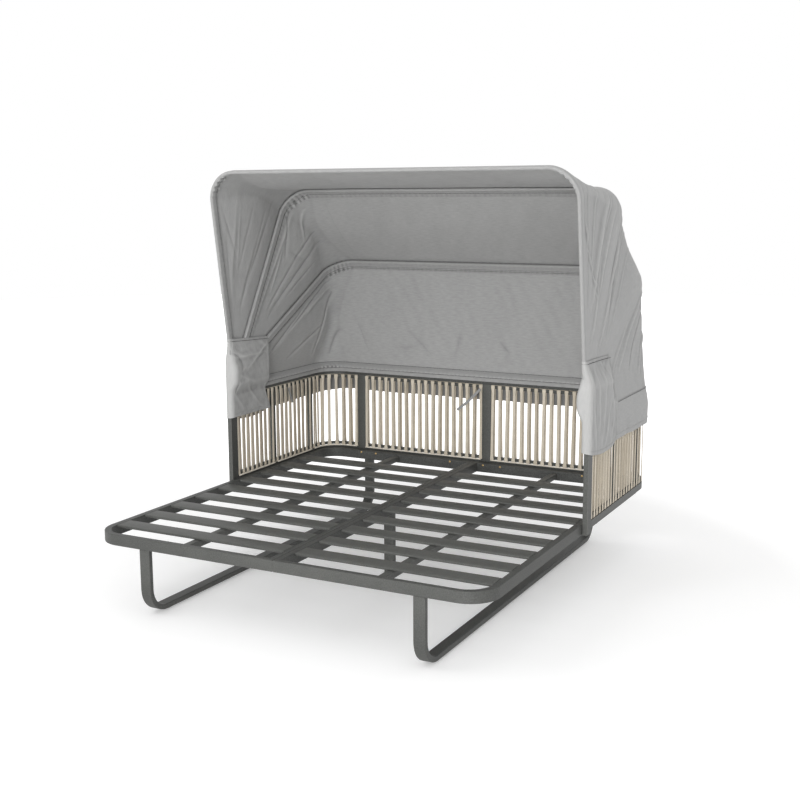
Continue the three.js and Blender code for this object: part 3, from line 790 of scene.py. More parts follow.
def crease(points, start, end, width, depth, aside=0.10):
    """The push of one crease. Its line is measured in the plane of the wall that it is drawn on."""
    start, end = np.array(start), np.array(end)
    across = 0 if abs(start[0] - end[0]) < 1e-6 else 1
    off_wall = np.abs(points[..., across] - (start[across] + end[across]) / 2)
    near_wall = smooth((aside - off_wall) / (0.5 * aside))
    flat = np.delete(points, across, axis=-1)
    start, end = np.delete(start, across), np.delete(end, across)
    line = end - start
    share = np.clip(((flat - start) @ line) / (line @ line), 0, 1)
    gap = np.linalg.norm(flat - start - share[..., None] * line, axis=-1)
    taper = np.sin(math.pi * np.clip(share * 0.92 + 0.04, 0, 1)) ** taper_power
    near = np.exp(-(gap / width) ** crest_power)
    far = np.exp(-(gap / (trough_width_share * width)) ** 2)
    return crease_gain * depth * taper * near_wall * (near - trough_depth_share * far)


def at(side, degrees, radius):
    """A point on a side wall, from its angle back from upright and its distance from the pivot."""
    angle = math.radians(degrees)
    return (side * wall_half, math.sin(angle) * radius, math.cos(angle) * radius)


def fan(side, lines):
    """Creases of one side wall, each from one angle and distance to another, with a width and a height."""
    return [(at(side, a, r), at(side, b, s), width, depth) for a, r, b, s, width, depth in lines]


front_creases = fan(-1, [
    (22, 0.80, 12, 0.30, broad, 0.0048),
    (2, 0.78, 0, 0.35, 0.020, -0.0040),
    (-4.8, 0.72, 3.5, 0.50, thin, 0.0024),
    (10.4, 0.74, 6.9, 0.46, thin, 0.0026),
    (3.5, 0.76, 5.6, 0.44, thin, -0.0021),
    (18, 0.74, 12, 0.26, thin, 0.0029),
    (26, 0.62, 24, 0.20, thin, 0.0027),
    (-3, 0.60, 4, 0.22, thin, 0.0021),
]) + fan(1, [
    (22, 0.84, 6, 0.34, broad, 0.0136),
    (4, 0.82, -4, 0.30, 0.018, -0.0102),
    (-7.3, 0.80, 17.2, 0.40, thin, 0.0078),
    (-2.1, 0.80, 0.8, 0.48, thin, 0.0058),
    (14, 0.86, 4, 0.42, thin, 0.0061),
    (26, 0.80, 12, 0.24, thin, 0.0065),
    (20, 0.56, 10, 0.18, thin, 0.0068),
    (24, 0.88, 20, 0.62, thin, 0.0054),
])
middle_creases = fan(-1, [
    (34, 0.82, 38, 0.20, 0.013, -0.0095),
    (31.8, 0.84, 38.7, 0.62, thin, 0.0054),
    (35.8, 0.86, 43.6, 0.76, thin, -0.0057),
    (45.0, 0.84, 44.1, 0.66, thin, 0.0062),
    (44.1, 0.70, 44.8, 0.36, thin, 0.0054),
    (40, 0.66, 50.8, 0.72, 0.020, 0.0030),
    (35.5, 0.66, 40.1, 0.44, thin, -0.0049),
    (53.8, 0.78, 52.0, 0.50, thin, 0.0051),
    (49.5, 0.84, 49.0, 0.34, 0.014, 0.0081),
]) + fan(1, [
    (34, 0.84, 42, 0.26, broad, 0.0136),
    (39, 0.84, 50, 0.34, 0.012, -0.0119),
    (35.5, 0.82, 35.0, 0.44, thin, 0.0071),
    (43, 0.84, 47, 0.40, thin, 0.0068),
    (50, 0.84, 55, 0.30, thin, 0.0068),
    (36, 0.50, 48, 0.16, thin, 0.0061),
])
rear_creases = fan(-1, [
    (65, 0.86, 72, 0.44, thin, 0.0084),
    (67.5, 0.84, 69.5, 0.60, thin, -0.0076),
    (69.4, 0.84, 88.8, 0.66, thin, 0.0084),
    (73, 0.88, 90, 0.78, thin, 0.0068),
    (66, 0.62, 80, 0.28, 0.011, 0.0104),
    (78, 0.76, 88, 0.44, thin, 0.0053),
]) + fan(1, [
    (65, 0.86, 80, 0.40, 0.012, 0.0119),
    (69, 0.88, 84, 0.54, 0.012, -0.0102),
    (74, 0.88, 88, 0.66, thin, 0.0071),
    (66, 0.60, 84, 0.26, thin, 0.0068),
]) + [
    ((-0.64, 0.80, 0.16), (-0.58, 0.82, 0.02), 0.026, 0.0040),
    ((-0.44, 0.82, 0.04), (-0.31, 0.82, 0.05), 0.026, 0.0028),
    ((-0.36, 0.80, 0.12), (-0.22, 0.82, 0.00), 0.030, 0.0030),
    ((0.60, 0.80, 0.36), (0.72, 0.76, 0.02), 0.018, 0.009),
    ((0.10, 0.82, 0.10), (0.16, 0.82, 0.04), 0.026, 0.0026),
    ((-0.12, 0.82, 0.01), (-0.09, 0.82, 0.14), 0.028, 0.0024),
]

# %% [markdown]
# A panel is a grid: its rows go round the hoop and its columns from one bow to the next. The creases
# push it along the hoop's own normal, so on the side walls no point changes its distance from the
# pivot. The panel is then cut into bands at set distances from the pivot.

# %% Panel grid
corner_share = 0.46
corner_rows = 96
roof_rows = 62
held_length = 0.05
held_gap = 0.004
slow_ripple, slow_length = 0.0017, 0.16
quick_ripple, quick_length = 0.0004, 0.07


def panel_rows():
    """Distances of the side rows, and the ways along the top, for one half of the canopy."""
    side = []
    for low, high in zip(band_radii[:-1], band_radii[1:]):
        count = max(3, round((high - low) / grid_step))
        side.append(np.linspace(low, high, count + 1)[:-1])
    top = [np.linspace(0, corner_share, corner_rows)[:-1], np.linspace(corner_share, 1, roof_rows)]
    return np.concatenate(side), np.concatenate(top)


def panel_half(side, start, end, columns):
    """Points of one half, from the lowest row to the roof's middle, with the hoop's normals."""
    side_rows, top_rows = panel_rows()
    way = np.linspace(0, 1, columns)
    last = hem_angle(side_rows) if end is Hem else np.full(len(side_rows), end.lean)
    angle = start.lean + way[None, :] * (last[:, None] - start.lean)
    radius = np.repeat(side_rows[:, None], columns, axis=1)
    x = side_x(angle, radius, start, end, last[:, None])
    lower = np.stack([side * x, radius * np.sin(angle), radius * np.cos(angle)], axis=2)
    if end is Hem:
        _, r_end = top_point(np.full(len(top_rows), Hem.lean), top_rows, start, end, Hem.lean)
        last = hem_angle(r_end)
    else:
        last = np.full(len(top_rows), end.lean)
    angle_top = start.lean + way[None, :] * (last[:, None] - start.lean)
    x, r = top_point(angle_top, top_rows[:, None], start, end, last[:, None])
    upper = np.stack([side * x, r * np.sin(angle_top), r * np.cos(angle_top)], axis=2)
    points = np.concatenate([lower, upper])
    angles = np.concatenate([angle, angle_top])
    return points, angles, len(side_rows)


def push_along_hoop(points, angles, push):
    """Moves the points along the hoop's normal in the half plane at their own angle."""
    radius = points[..., 1] * np.sin(angles) + points[..., 2] * np.cos(angles)
    flat = np.stack([points[..., 0], radius], axis=2)
    along = np.gradient(flat, axis=0)
    normal = np.stack([-along[..., 1], along[..., 0]], axis=2)
    normal = normal / np.maximum(np.linalg.norm(normal, axis=2, keepdims=True), 1e-12)
    steady = (radius <= band_radii[-1] + 1e-6)[..., None]
    sideways = np.stack([np.sign(points[..., 0]), np.zeros_like(radius)], axis=2)
    normal = np.where(steady, sideways, normal)
    moved = flat + normal * push[..., None]
    radius = moved[..., 1]
    return np.stack([moved[..., 0], radius * np.sin(angles), radius * np.cos(angles)], axis=2)


def panel_grid(start, end, columns, creases):
    left, left_angles, side_count = panel_half(-1, start, end, columns)
    right, right_angles, _ = panel_half(1, start, end, columns)
    points = np.concatenate([left, right[-2::-1]])
    angles = np.concatenate([left_angles, right_angles[-2::-1]])
    steps = np.linalg.norm(np.diff(points, axis=1), axis=2)
    run = np.concatenate([np.zeros((len(points), 1)), np.cumsum(steps, axis=1)], axis=1)
    from_start = run - bow_half_width - held_gap
    from_end = run[:, -1:] - run - held_gap - (0.0 if end is Hem else bow_half_width)
    hold = smooth(from_start / held_length) * smooth(from_end / held_length)
    push = slow_ripple * ripple(points, slow_length) + quick_ripple * ripple(points, quick_length)
    for line in creases:
        push = push + crease(points, *line)
    roof = np.clip(1 - np.abs(points[..., 0]) / roof_hollow_half, 0, 1) ** 0.5
    middle = np.sin(math.pi * run / run[:, -1:])
    if end is not Hem:
        push = push - roof_hollow * roof * middle
    points = push_along_hoop(points, angles, push * hold)
    return points + pivot, side_count


# %% [markdown]
# The panels are laid on the bows and cut into bands.

# %% Panels
panel_columns = 104


def band_patches(points, normals, lengths, side_count, band):
    """The two side pieces of a band, or the one piece over the top for the last band."""
    rows = len(points)
    limits = [0]
    for low, high in zip(band_radii[:-1], band_radii[1:]):
        limits.append(limits[-1] + max(3, round((high - low) / grid_step)))
    if band == len(band_radii) - 1:
        cuts = [slice(side_count, rows - side_count)]
    else:
        low, high = limits[band], limits[band + 1]
        cuts = [slice(low, high + 1), slice(rows - 1 - high, rows - low)]
    return [(points[c], normals[c], lengths[c]) for c in cuts]


def hang_panel(name, start, end, creases, node):
    points, side_count = panel_grid(start, end, panel_columns, creases)
    normals = grid_normals(points)
    lengths = grid_lengths(points)
    for band in range(len(band_radii)):
        patches = band_patches(points, normals, lengths, side_count, band)
        piece = sheet_piece(f"{name}_band_{band + 1}", patches, cloth)
        if end is Hem:
            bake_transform(piece)
        else:
            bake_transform(piece)
        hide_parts(node)
        area = cloth_area(patches)
        print(piece.name, len(piece.data.polygons), "faces,", round(area, 3), "square metres")
    return points


front_points = hang_panel("front_panel", front_bow, middle_bow, front_creases, "front_canopy_panel")
middle_points = hang_panel("middle_panel", middle_bow, rear_bow, middle_creases, "middle_canopy_panel")
rear_points = hang_panel("rear_panel", rear_bow, Hem, rear_creases, "rear_canopy_panel")

# %% [markdown]
# What repeats along a line, such as stitches and turns of rope, is left to Geometry Nodes. A tree is built
# by code with named inputs. It sets copies of one shape on the points of a line, and the result is kept as
# a plain mesh. Round shapes are tubes: rings of points joined by faces.

# %% Geometry Nodes helpers


class Tree:
    """A Geometry Nodes group that sets copies of a shape on points. One method adds any node."""

    def __init__(self, name, inputs):
        self.group = bpy.data.node_groups.new(name, "GeometryNodeTree")
        face = self.group.interface
        face.new_socket("Geometry", in_out="INPUT", socket_type="NodeSocketGeometry")
        face.new_socket("Geometry", in_out="OUTPUT", socket_type="NodeSocketGeometry")
        for label, kind in {"Shape": "Object", "Finish": "Material", **inputs}.items():
            face.new_socket(label, in_out="INPUT", socket_type="NodeSocket" + kind)
        self.given = self.group.nodes.new("NodeGroupInput").outputs
        self.made = self.group.nodes.new("NodeGroupOutput").inputs

    def node(self, kind, settings=None, sockets=None):
        made = self.group.nodes.new(kind)
        for key, value in (settings or {}).items():
            setattr(made, key, value)
        for key, value in (sockets or {}).items():
            if isinstance(value, bpy.types.NodeSocket):
                self.group.links.new(value, made.inputs[key])
            else:
                made.inputs[key].default_value = value
        return made.outputs

    def spots(self, mode, **sockets):
        """Points along the given lines, at a pitch or in a number."""
        curve = self.node("GeometryNodeMeshToCurve", None, {0: self.given["Geometry"]})[0]
        return self.node("GeometryNodeCurveToPoints", {"mode": mode}, {"Curve": curve, **sockets})

    def chance(self, seed):
        return self.node("FunctionNodeRandomValue", {"data_type": "FLOAT"}, {"Seed": seed})[1]

    def laid(self, points, **sockets):
        """Copies of the shape on the points."""
        shape = self.node("GeometryNodeObjectInfo", None, {"Object": self.given["Shape"]})["Geometry"]
        sockets = {"Points": points, "Instance": shape, **sockets}
        return self.node("GeometryNodeInstanceOnPoints", None, sockets)[0]

    def finished(self, laid):
        """The whole group, once the copies are made real and have their material."""
        real = self.node("GeometryNodeRealizeInstances", None, {0: laid})[0]
        dressed = self.node("GeometryNodeSetMaterial", None, {0: real, "Material": self.given["Finish"]})[0]
        self.group.links.new(dressed, self.made[0])
        return self.group


def line_carrier(name, paths):
    """One mesh that holds several open lines of points, for a tree to run on."""
    points, edges = [], []
    for path in paths:
        start = len(points)
        points.extend(tuple(p) for p in path)
        edges.extend((start + i, start + i + 1) for i in range(len(path) - 1))
    mesh = bpy.data.meshes.new(name)
    mesh.from_pydata(points, edges, [])
    made = bpy.data.objects.new(name, mesh)
    scene.collection.objects.link(made)
    return made


def grown(name, paths, group, shape, finish, values=None):
    """Runs a tree on lines of points and keeps the result as a plain mesh under the given name."""
    carrier = line_carrier(name + "_lines", paths)
    modifier = carrier.modifiers.new("grow", "NODES")
    modifier.node_group = group
    values = {"Shape": shape, "Finish": finish, **(values or {})}
    for item in group.interface.items_tree:
        if item.in_out == "INPUT" and item.name in values:
            modifier[item.identifier] = values[item.name]
    bpy.context.view_layer.update()
    evaluated = carrier.evaluated_get(bpy.context.evaluated_depsgraph_get())
    mesh = bpy.data.meshes.new_from_object(evaluated)
    mesh.name = name
    carrier.modifiers.remove(modifier)
    bpy.data.objects.remove(carrier)
    bpy.data.objects.remove(shape)
    piece = bpy.data.objects.new(name, mesh)
    scene.collection.objects.link(piece)
    return piece


def tube_object(name, tubes, uv=None, capped=True, rounded=True):
    """Tubes in one mesh, each given as rings of points from one end to the other."""
    vertices, faces = [], []
    for rings in map(np.array, tubes):
        start = len(vertices)
        count, sides = rings.shape[:2]
        vertices.extend(map(tuple, rings.reshape(-1, 3)))
        for i in range(count - 1):
            for k in range(sides):
                a, b = start + i * sides + k, start + i * sides + (k + 1) % sides
                faces.append((b, b + sides, a + sides, a))
        if capped:
            faces.append(tuple(start + k for k in reversed(range(sides))))
            faces.append(tuple(start + (count - 1) * sides + k for k in range(sides)))
    mesh = bpy.data.meshes.new(name)
    mesh.from_pydata(vertices, [], faces)
    if uv is not None:
        corners = [corner for face in faces for corner in face]
        mesh.uv_layers.new(name="UVMap").data.foreach_set("uv", np.array(uv)[corners].reshape(-1))
    mesh.polygons.foreach_set("use_smooth", [rounded] * len(faces))
    return bpy.data.objects.new(name, mesh)


# %% [markdown]
# A seam is a row of short stitches of thick thread. One stitch is a small pill with five sides, because
# it is repeated thousands of times, and a tree lays it along each seam at an even pitch.

# %% Stitches
stitch_pitch = 0.0062
stitch_length = 0.0046
stitch_radius = 0.00105
stitch_sides = 5
stitch_shares = ((-0.5, 0.35), (-0.32, 1.0), (0.32, 1.0), (0.5, 0.35))


def one_stitch():
    rings = []
    for place, size in stitch_shares:
        radius = size * stitch_radius
        rings.append([(place * stitch_length, radius * math.cos(turn), radius * math.sin(turn))
                      for turn in np.linspace(0, 2 * math.pi, stitch_sides, endpoint=False)])
    return tube_object("stitch", [rings])


def stitching_tree():
    tree = Tree("stitching", {"Pitch": "Float"})
    spots = tree.spots("LENGTH", Length=tree.given["Pitch"])
    facing = tree.node("FunctionNodeAlignRotationToVector", {"axis": "X"}, {"Vector": spots["Tangent"]})[0]
    return tree.finished(tree.laid(spots["Points"], Rotation=facing))


stitching = stitching_tree()


def sew(name, body, paths, finish):
    """Lays stitches along lines of points, as one piece that rides with a body."""
    piece = grown(name, paths, stitching, one_stitch(), finish, {"Pitch": stitch_pitch})
    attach(piece, body)
    print(name, len(piece.data.polygons), "faces")


# %% [markdown]
# A strip of cloth is sewn inside each bow to make the sleeve that it runs in. The strip lies flat on the
# cover beyond the bow, so its points are the cover's own points, set back by a distance that grows to
# the bow's depth. Where the strip goes round a corner it is too long, and gathers into small loops.

# %% Sleeve rows
sleeve_step = 0.0045
sleeve_start = 0.075
pucker_wave = 0.025
pucker_least = 0.0010
pucker_most = 0.0088


class BowLine:
    """Rows along a bow, close together, from which the cover can be measured off on either side."""

    def __init__(self, bow, before, after):
        whole = after if before is None else np.concatenate([before[:, :-1], after], axis=1)
        column = 0 if before is None else before.shape[1] - 1
        steps = np.linalg.norm(np.diff(whole, axis=1), axis=2)
        run = np.concatenate([np.zeros((len(whole), 1)), np.cumsum(steps, axis=1)], axis=1)
        middle = whole[:, column]
        radius = np.hypot(middle[:, 1] - pivot[1], middle[:, 2] - pivot[2])
        kept = radius > sleeve_start
        self.bow = bow
        self.whole = whole[kept]
        self.gone = (run - run[:, column:column + 1])[kept]
        middle = middle[kept]
        lengths = np.concatenate([[0], np.cumsum(np.linalg.norm(np.diff(middle, axis=0), axis=1))])
        self.length = float(lengths[-1])
        self.run = np.linspace(0, self.length, round(self.length / sleeve_step) + 1)
        self.lengths = lengths
        self.across = np.array([0, math.cos(bow.lean), -math.sin(bow.lean)])
        self.middle = self.respaced(middle)
        along = np.gradient(self.middle, axis=0)
        normals = np.cross(along, self.across)
        self.normals = normals / np.linalg.norm(normals, axis=1, keepdims=True)
        upward = np.array([0, math.sin(bow.lean), math.cos(bow.lean)])
        if self.normals[len(self.normals) // 2] @ upward < 0:
            self.normals = -self.normals
        self.turning = turning(np.abs(self.normals[:, 0]))

    def respaced(self, values):
        """Values given at the cover's rows, as values at the even steps along the bow."""
        columns = [np.interp(self.run, self.lengths, column) for column in values.T]
        return np.stack(columns, axis=1)

    def cover(self, distances):
        """The cover's points at distances before and after the bow, one row for each step."""
        rows = [[np.interp(distances, gone, axis) for axis in line.T]
                for gone, line in zip(self.gone, self.whole)]
        flat = np.array(rows).transpose(0, 2, 1).reshape(len(rows), -1)
        return self.respaced(flat).reshape(len(self.run), len(distances), 3)

    def puckers(self):
        """Two waves along the bow, between 0 and 1, and how strongly the strip gathers there."""
        phase = self.run * 2 * math.pi / pucker_wave + 1.1 * np.sin(self.run * 29)
        strength = pucker_least + pucker_most * self.turning
        return 0.5 + 0.5 * np.sin(phase), 0.5 + 0.5 * np.sin(phase * 0.61 + 2), strength


front_line = BowLine(front_bow, None, front_points)
middle_line = BowLine(middle_bow, front_points, middle_points)
rear_line = BowLine(rear_bow, middle_points, rear_points)
for line in (front_line, middle_line, rear_line):
    print(line.bow.name, "sleeve of", len(line.run), "rows,", round(line.length, 3), "m")

# %% Sleeves
flange_gap = 0.0024
sleeve_depth = over_bow + bow_half_thickness + flange_gap
tube_edge = 0.0165
tube_slope = 0.006
tube_wave = 0.25
lap_lead = 0.003
lap_slope = 0.012
lap_wave = 0.75
lap_slow_wave = 0.5
bead_clear = 0.0004
bead_round = 1.1
bead_top, bead_top_points = 0.006, 4
bead_front, bead_points = 0.007, 15
bead_wave = 0.4


def sleeve_grid(line, first, last, count):
    """The sleeve's points from a distance before the bow to a distance after it."""
    distances = np.linspace(first, last, count)
    points = line.cover(distances)
    wave, slow, strength = (values[:, None] for values in line.puckers())
    round_bow = smooth((tube_edge - np.abs(distances)) / tube_slope)[None, :]
    beyond = smooth((np.abs(distances) - tube_edge + lap_lead) / lap_slope)[None, :]
    depth = flange_gap + (sleeve_depth - flange_gap) * round_bow
    depth = depth + strength * beyond * (lap_wave * wave + lap_slow_wave * slow)
    depth = depth + tube_wave * strength * round_bow * wave
    return points - line.normals[:, None, :] * depth[..., None]


def bead_grid(line):
    """Cloth over the front bow's front edge: from its middle, round the edge, to the inner face."""
    turn = np.linspace(math.pi / 2, -math.pi / 2, bead_points)
    bead = over_bow + bead_clear
    top = np.linspace(0.0, -bead_top, bead_top_points)
    over = np.stack([top, np.full(bead_top_points, over_bow)], axis=1)
    nose = np.stack([-bead_front - bead * np.cos(turn) * bead_round, bead * np.sin(turn)], axis=1)
    section = np.concatenate([over, nose])
    wave, _, strength = line.puckers()
    middle = line.middle - line.normals * over_bow
    points = middle[:, None] + section[None, :, :1] * line.across
    points = points + section[None, :, 1:] * line.normals[:, None]
    inner = smooth(-section[:, 1] / bead)[None, :, None]
    return points - line.normals[:, None] * (bead_wave * strength * wave)[:, None, None] * inner


def sew_sleeve(name, line, grid):
    grid = grid[:, ::-1]
    patches = [(grid, grid_normals(grid), grid_lengths(grid))]
    flat = flat_strip(patches, line.length)
    sewn_sheet(name, line.bow.body, patches, (trim,), flat)


front_inside = sleeve_grid(front_line, 0.0, 0.030, 22)[:, 1:]
front_edge = np.concatenate([bead_grid(front_line), front_inside], axis=1)
middle_inside = sleeve_grid(middle_line, -0.020, 0.046, 38)
rear_inside = sleeve_grid(rear_line, -0.022, 0.034, 34)
sew_sleeve("front_hem", front_line, front_edge)
sew_sleeve("middle_sleeve", middle_line, middle_inside)
sew_sleeve("rear_sleeve", rear_line, rear_inside)

# %% Sleeve seams
seam_lift = 0.0009


def sew_seams(name, line, grid, columns):
    paths = [grid[:, column] - line.normals * seam_lift for column in columns]
    sew(name, line.bow.body, paths, thread)


sew_seams("front_hem_seams", front_line, front_edge, (-7,))
sew_seams("middle_sleeve_seams", middle_line, middle_inside, (2, -13))
sew_seams("rear_sleeve_seams", rear_line, rear_inside, (2, 3, -6))

# %% [markdown]
# The skirt is cloth folded over the top rail. Inside it ends in a doubled band and a short lip. Outside
# it hangs a hand's breadth lower, with soft waves that grow towards its free edge.

# %% Wall path
skirt_front = 0.330
inner_front = 0.262
lip_drop = 0.041
skirt_drop = 0.151
back_skirt_drop = 0.131
side_length = wall_back - wall_corner - skirt_front
wall_step = 0.006
corner_points = 48
back_points = 110


def wall_frames(front, step=wall_step):
    """Points along the wall's middle line at no height, and the outward way there."""
    straight = np.arange(front, wall_back - wall_corner, step)
    turn = np.linspace(0, math.pi / 2, corner_points)
    back = np.linspace(wall_half_width - wall_corner, 0, back_points)[1:]
    round_x = wall_half_width - wall_corner * (1 - np.cos(turn))
    round_y = wall_back - wall_corner * (1 - np.sin(turn))
    x = np.concatenate([np.full(len(straight), wall_half_width), round_x, back])
    y = np.concatenate([straight, round_y, np.full(len(back), wall_back)])
    tilt = np.concatenate([np.zeros(len(straight)), turn, np.full(len(back), math.pi / 2)])
    out_x = np.concatenate([-np.cos(tilt), np.cos(tilt)[-2::-1]])
    out_y = np.concatenate([np.sin(tilt), np.sin(tilt)[-2::-1]])
    points = np.stack([np.concatenate([-x, x[-2::-1]]), np.concatenate([y, y[-2::-1]])], axis=1)
    points = np.concatenate([points, np.zeros((len(points), 1))], axis=1)
    outward = np.stack([out_x, out_y, np.zeros(len(out_x))], axis=1)
    run = np.concatenate([[0], np.cumsum(np.linalg.norm(np.diff(points, axis=0), axis=1))])
    return points, outward, run


def hang_on_wall(points, outward, run, section_for):
    """A grid from sections drawn for a length along the wall and for how sharply it turns there."""
    rows = []
    for point, way, length in zip(points, outward, run):
        section = section_for(length, turning(way[0]))
        rows.append(point + section[:, :1] * way + (hem_height + section[:, 1:]) * np.array([0, 0, 1.0]))
    return np.array(rows)


def through(stations, count):
    """Points spread evenly by number over a smooth curve through a few (out, height) stations."""
    stations = np.array(stations)
    knots = np.linspace(0, 1, len(stations))
    ways = np.linspace(0, 1, count)
    smoothed = np.stack([np.interp(ways, knots, stations[:, i]) for i in (0, 1)], axis=1)
    for _ in range(3):
        smoothed[1:-1] = (smoothed[:-2] + 2 * smoothed[1:-1] + smoothed[2:]) / 4
    return smoothed


# %% Lip and skirt
band_height = 0.021
skirt_length = float(wall_frames(skirt_front)[2][-1])


def band_section(length, corner):
    """From the seam at the rail's outer edge in and down to the doubled edge, which stands off the lip."""
    wave = (0.0007 + 0.0046 * corner) * math.sin(length * 270 + math.sin(length * 31))
    low = -band_height
    return through([(hem_out - 0.0014, 0.003), (0.0020, -0.003), (-0.0090, -0.009),
                    (-0.0176 + wave, low + 0.004), (-0.0186 + wave, low), (-0.0150 + wave, low - 0.0022)], 22)


def lip_section(length, corner):
    wave = 0.0006 * math.sin(length * 61) + 0.0004 * math.sin(length * 147)
    top = -band_height + 0.006
    return through([(-0.0088, top), (-0.0096, -0.028), (-0.0114 + wave, -0.040),
                    (-0.0118 + wave, -lip_drop)], 12)


def skirt_section(length, corner):
    """Over the cover at the seam, and flared below it, most at the wall's back corners."""
    slow = 0.5 * math.sin(length * 23) + 0.3 * math.sin(length * 41 + 1) + 0.2 * math.sin(length * 67 + 2)
    gone = min(length, skirt_length - length)
    flare_at = [0.02, side_length * 0.6, side_length + 0.09, side_length + 0.30]
    flare = float(np.interp(gone, flare_at, [0.0134, 0.0180, 0.0290, 0.0200]))
    drop_at = [0.02, side_length, side_length + 0.16]
    drop = float(np.interp(gone, drop_at, [skirt_drop, skirt_drop, back_skirt_drop]))
    drop += 0.0015 * math.sin(length * 17)
    top = hem_out + 0.0016
    return through([(top, 0.003), (top + 0.0004, -0.006), (max(top, 0.5 * (top + flare)), -0.030),
                    (flare + 0.0010 * slow, -0.070), (flare + 0.0022 * slow, -0.6 * drop),
                    (flare + 0.0034 * slow, -drop)], 32)


def sew_on_wall(name, front, section_for, flip, seams, painted_shade_face=0.0):
    """One piece that runs round the wall, and the lines of its seams as (column, out, up)."""
    points, outward, run = wall_frames(front)
    grid = hang_on_wall(points, outward, run, section_for)
    upward = np.array([0, 0, 1.0])
    lines = [grid[:, column] + outward * out + upward * up for column, out, up in seams]
    if flip:
        grid = grid[:, ::-1]
    patches = [(grid, grid_normals(grid), grid_lengths(grid))]
    look = (cloth, cloth_thickness, painted_shade_face)
    flat = flat_strip(patches, float(run[-1]))
    sewn_sheet(name, "daybed_frame", patches, look, flat, "canopy_skirt")
    return lines


# The skirt's inner face gets painted shade all over.
shaded_inside = 1.2
band_seams = [(1, -0.0006, 0.0008), (18, -0.0012, 0.0)]
skirt_seams = [(2, 0.0011, 0.0), (29, 0.0011, 0.0)]
wall_seams = sew_on_wall("skirt_band", inner_front, band_section, True, band_seams)
wall_seams += sew_on_wall("skirt_lip", inner_front, lip_section, True, [])
wall_seams += sew_on_wall("canopy_skirt_outside", skirt_front, skirt_section, False, skirt_seams,
                          shaded_inside)

# %% [markdown]
# Round each pivot the cover is a deep flap: one cloth that comes down outside, round the post's front,
# and up inside over the bows' eyes. It is drawn as a ring at each height. The ring hugs the cover at
# the top seam, and lower down it stands off far enough to hide the bolts.

# %% Flap outline
flap_back = 0.345
flap_low = hem_height - 0.142
flap_high = hem_height + 0.203
flap_out = 0.8250
flap_in = 0.7665
leg_in = 0.7890
nose_round = 0.015
nose_clear = 0.005
nose_before_bow = 0.0155
flap_slope = 0.05
flap_thickness = 0.0016
belly_least, belly_deep, belly_length = 0.004, 0.024, 0.40
heel_rise, heel_from, heel_over = 0.0235, 0.28, 0.065
inner_back, inner_back_more = 0.270, 0.034
inner_back_from, inner_back_over = 0.669, 0.095
over_cover = 0.0030
bolt_out, bolt_above = 0.8075, 0.045
post_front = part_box("left_front_post")[0].y


def flap_top(y):
    return flap_high - flap_slope * y


def flap_bottom(y, outer):
    """The lower edge: level inside, and outside a shallow belly that is rounded off at the back."""
    belly = belly_least + belly_deep * np.sin(math.pi * np.clip(y / belly_length, 0, 1))
    rounded = heel_rise * np.clip((y - heel_from) / heel_over, 0, 1) ** 2
    return flap_low - outer * (belly - rounded)


def flap_nose(z):
    """How far forward the flap reaches: just clear of the post, and with the leaning bow above it."""
    leaning = pivot[1] + (z - pivot[2]) * math.tan(front_bow.lean) - nose_before_bow
    return np.minimum(post_front - nose_clear, leaning)


def flap_inner_back(z):
    """How far back the inner side reaches. It grows from the top rail down."""
    return inner_back + inner_back_more * smooth((inner_back_from - z) / inner_back_over)


def cover_x(y, z):
    """How far out the cover stands at a place on the side wall, given from the pivot."""
    radius = np.maximum(np.hypot(y, z), band_radii[0])
    angle = np.arctan2(y, z)
    front = side_x(np.maximum(angle, front_bow.lean), radius, front_bow, middle_bow, middle_bow.lean)
    middle = side_x(angle, radius, middle_bow, rear_bow, rear_bow.lean)
    rear = side_x(angle, radius, rear_bow, Hem, hem_angle(radius))
    return np.where(angle < middle_bow.lean, front, np.where(angle < rear_bow.lean, middle, rear))


def flap_outer_x(y, z):
    """Close on the cover at the top seam and at the back, and clear of the bolt's head lower down."""
    near = cover_x(y - pivot[1], z - pivot[2]) + over_cover
    top = smooth((z - flap_top(y) + 0.105) / 0.100)
    rear = smooth((y - flap_back + 0.085) / 0.075) * smooth((z - hem_height + 0.004) / 0.03)
    closed = np.maximum(top, rear)
    clear = np.where(z < pivot[2] + bolt_above, bolt_out, 0.0)
    return flap_out + closed * (np.maximum(near, clear) - flap_out)


def flap_inner_x(y, z):
    """Over the bows' legs above the pivot, over their eyes at it, and close to the post below it."""
    back, rise = y - pivot[1], z - pivot[2]
    lean = np.degrees(np.arctan2(back, rise))
    legs = np.interp(lean, [-8.5, 20, 50, 62], [0.7862, 0.7770, 0.7690, flap_in])
    eyes = 0.7655 + 0.025 * smooth((np.hypot(back, rise) - 0.012) / 0.11)
    seam = np.interp(back, [-0.03, 0.085, 0.20, 0.282], [0.7862, 0.7768, 0.7718, 0.7668])
    body = leg_in + smooth((z - hem_height + 0.045) / 0.055) * (np.minimum(legs, eyes) - leg_in)
    return body + smooth((z - flap_top(y) + 0.055) / 0.052) * (seam - body)


# %% Flap rows
outer_count = 58
inner_count = 50
nose_count = 6


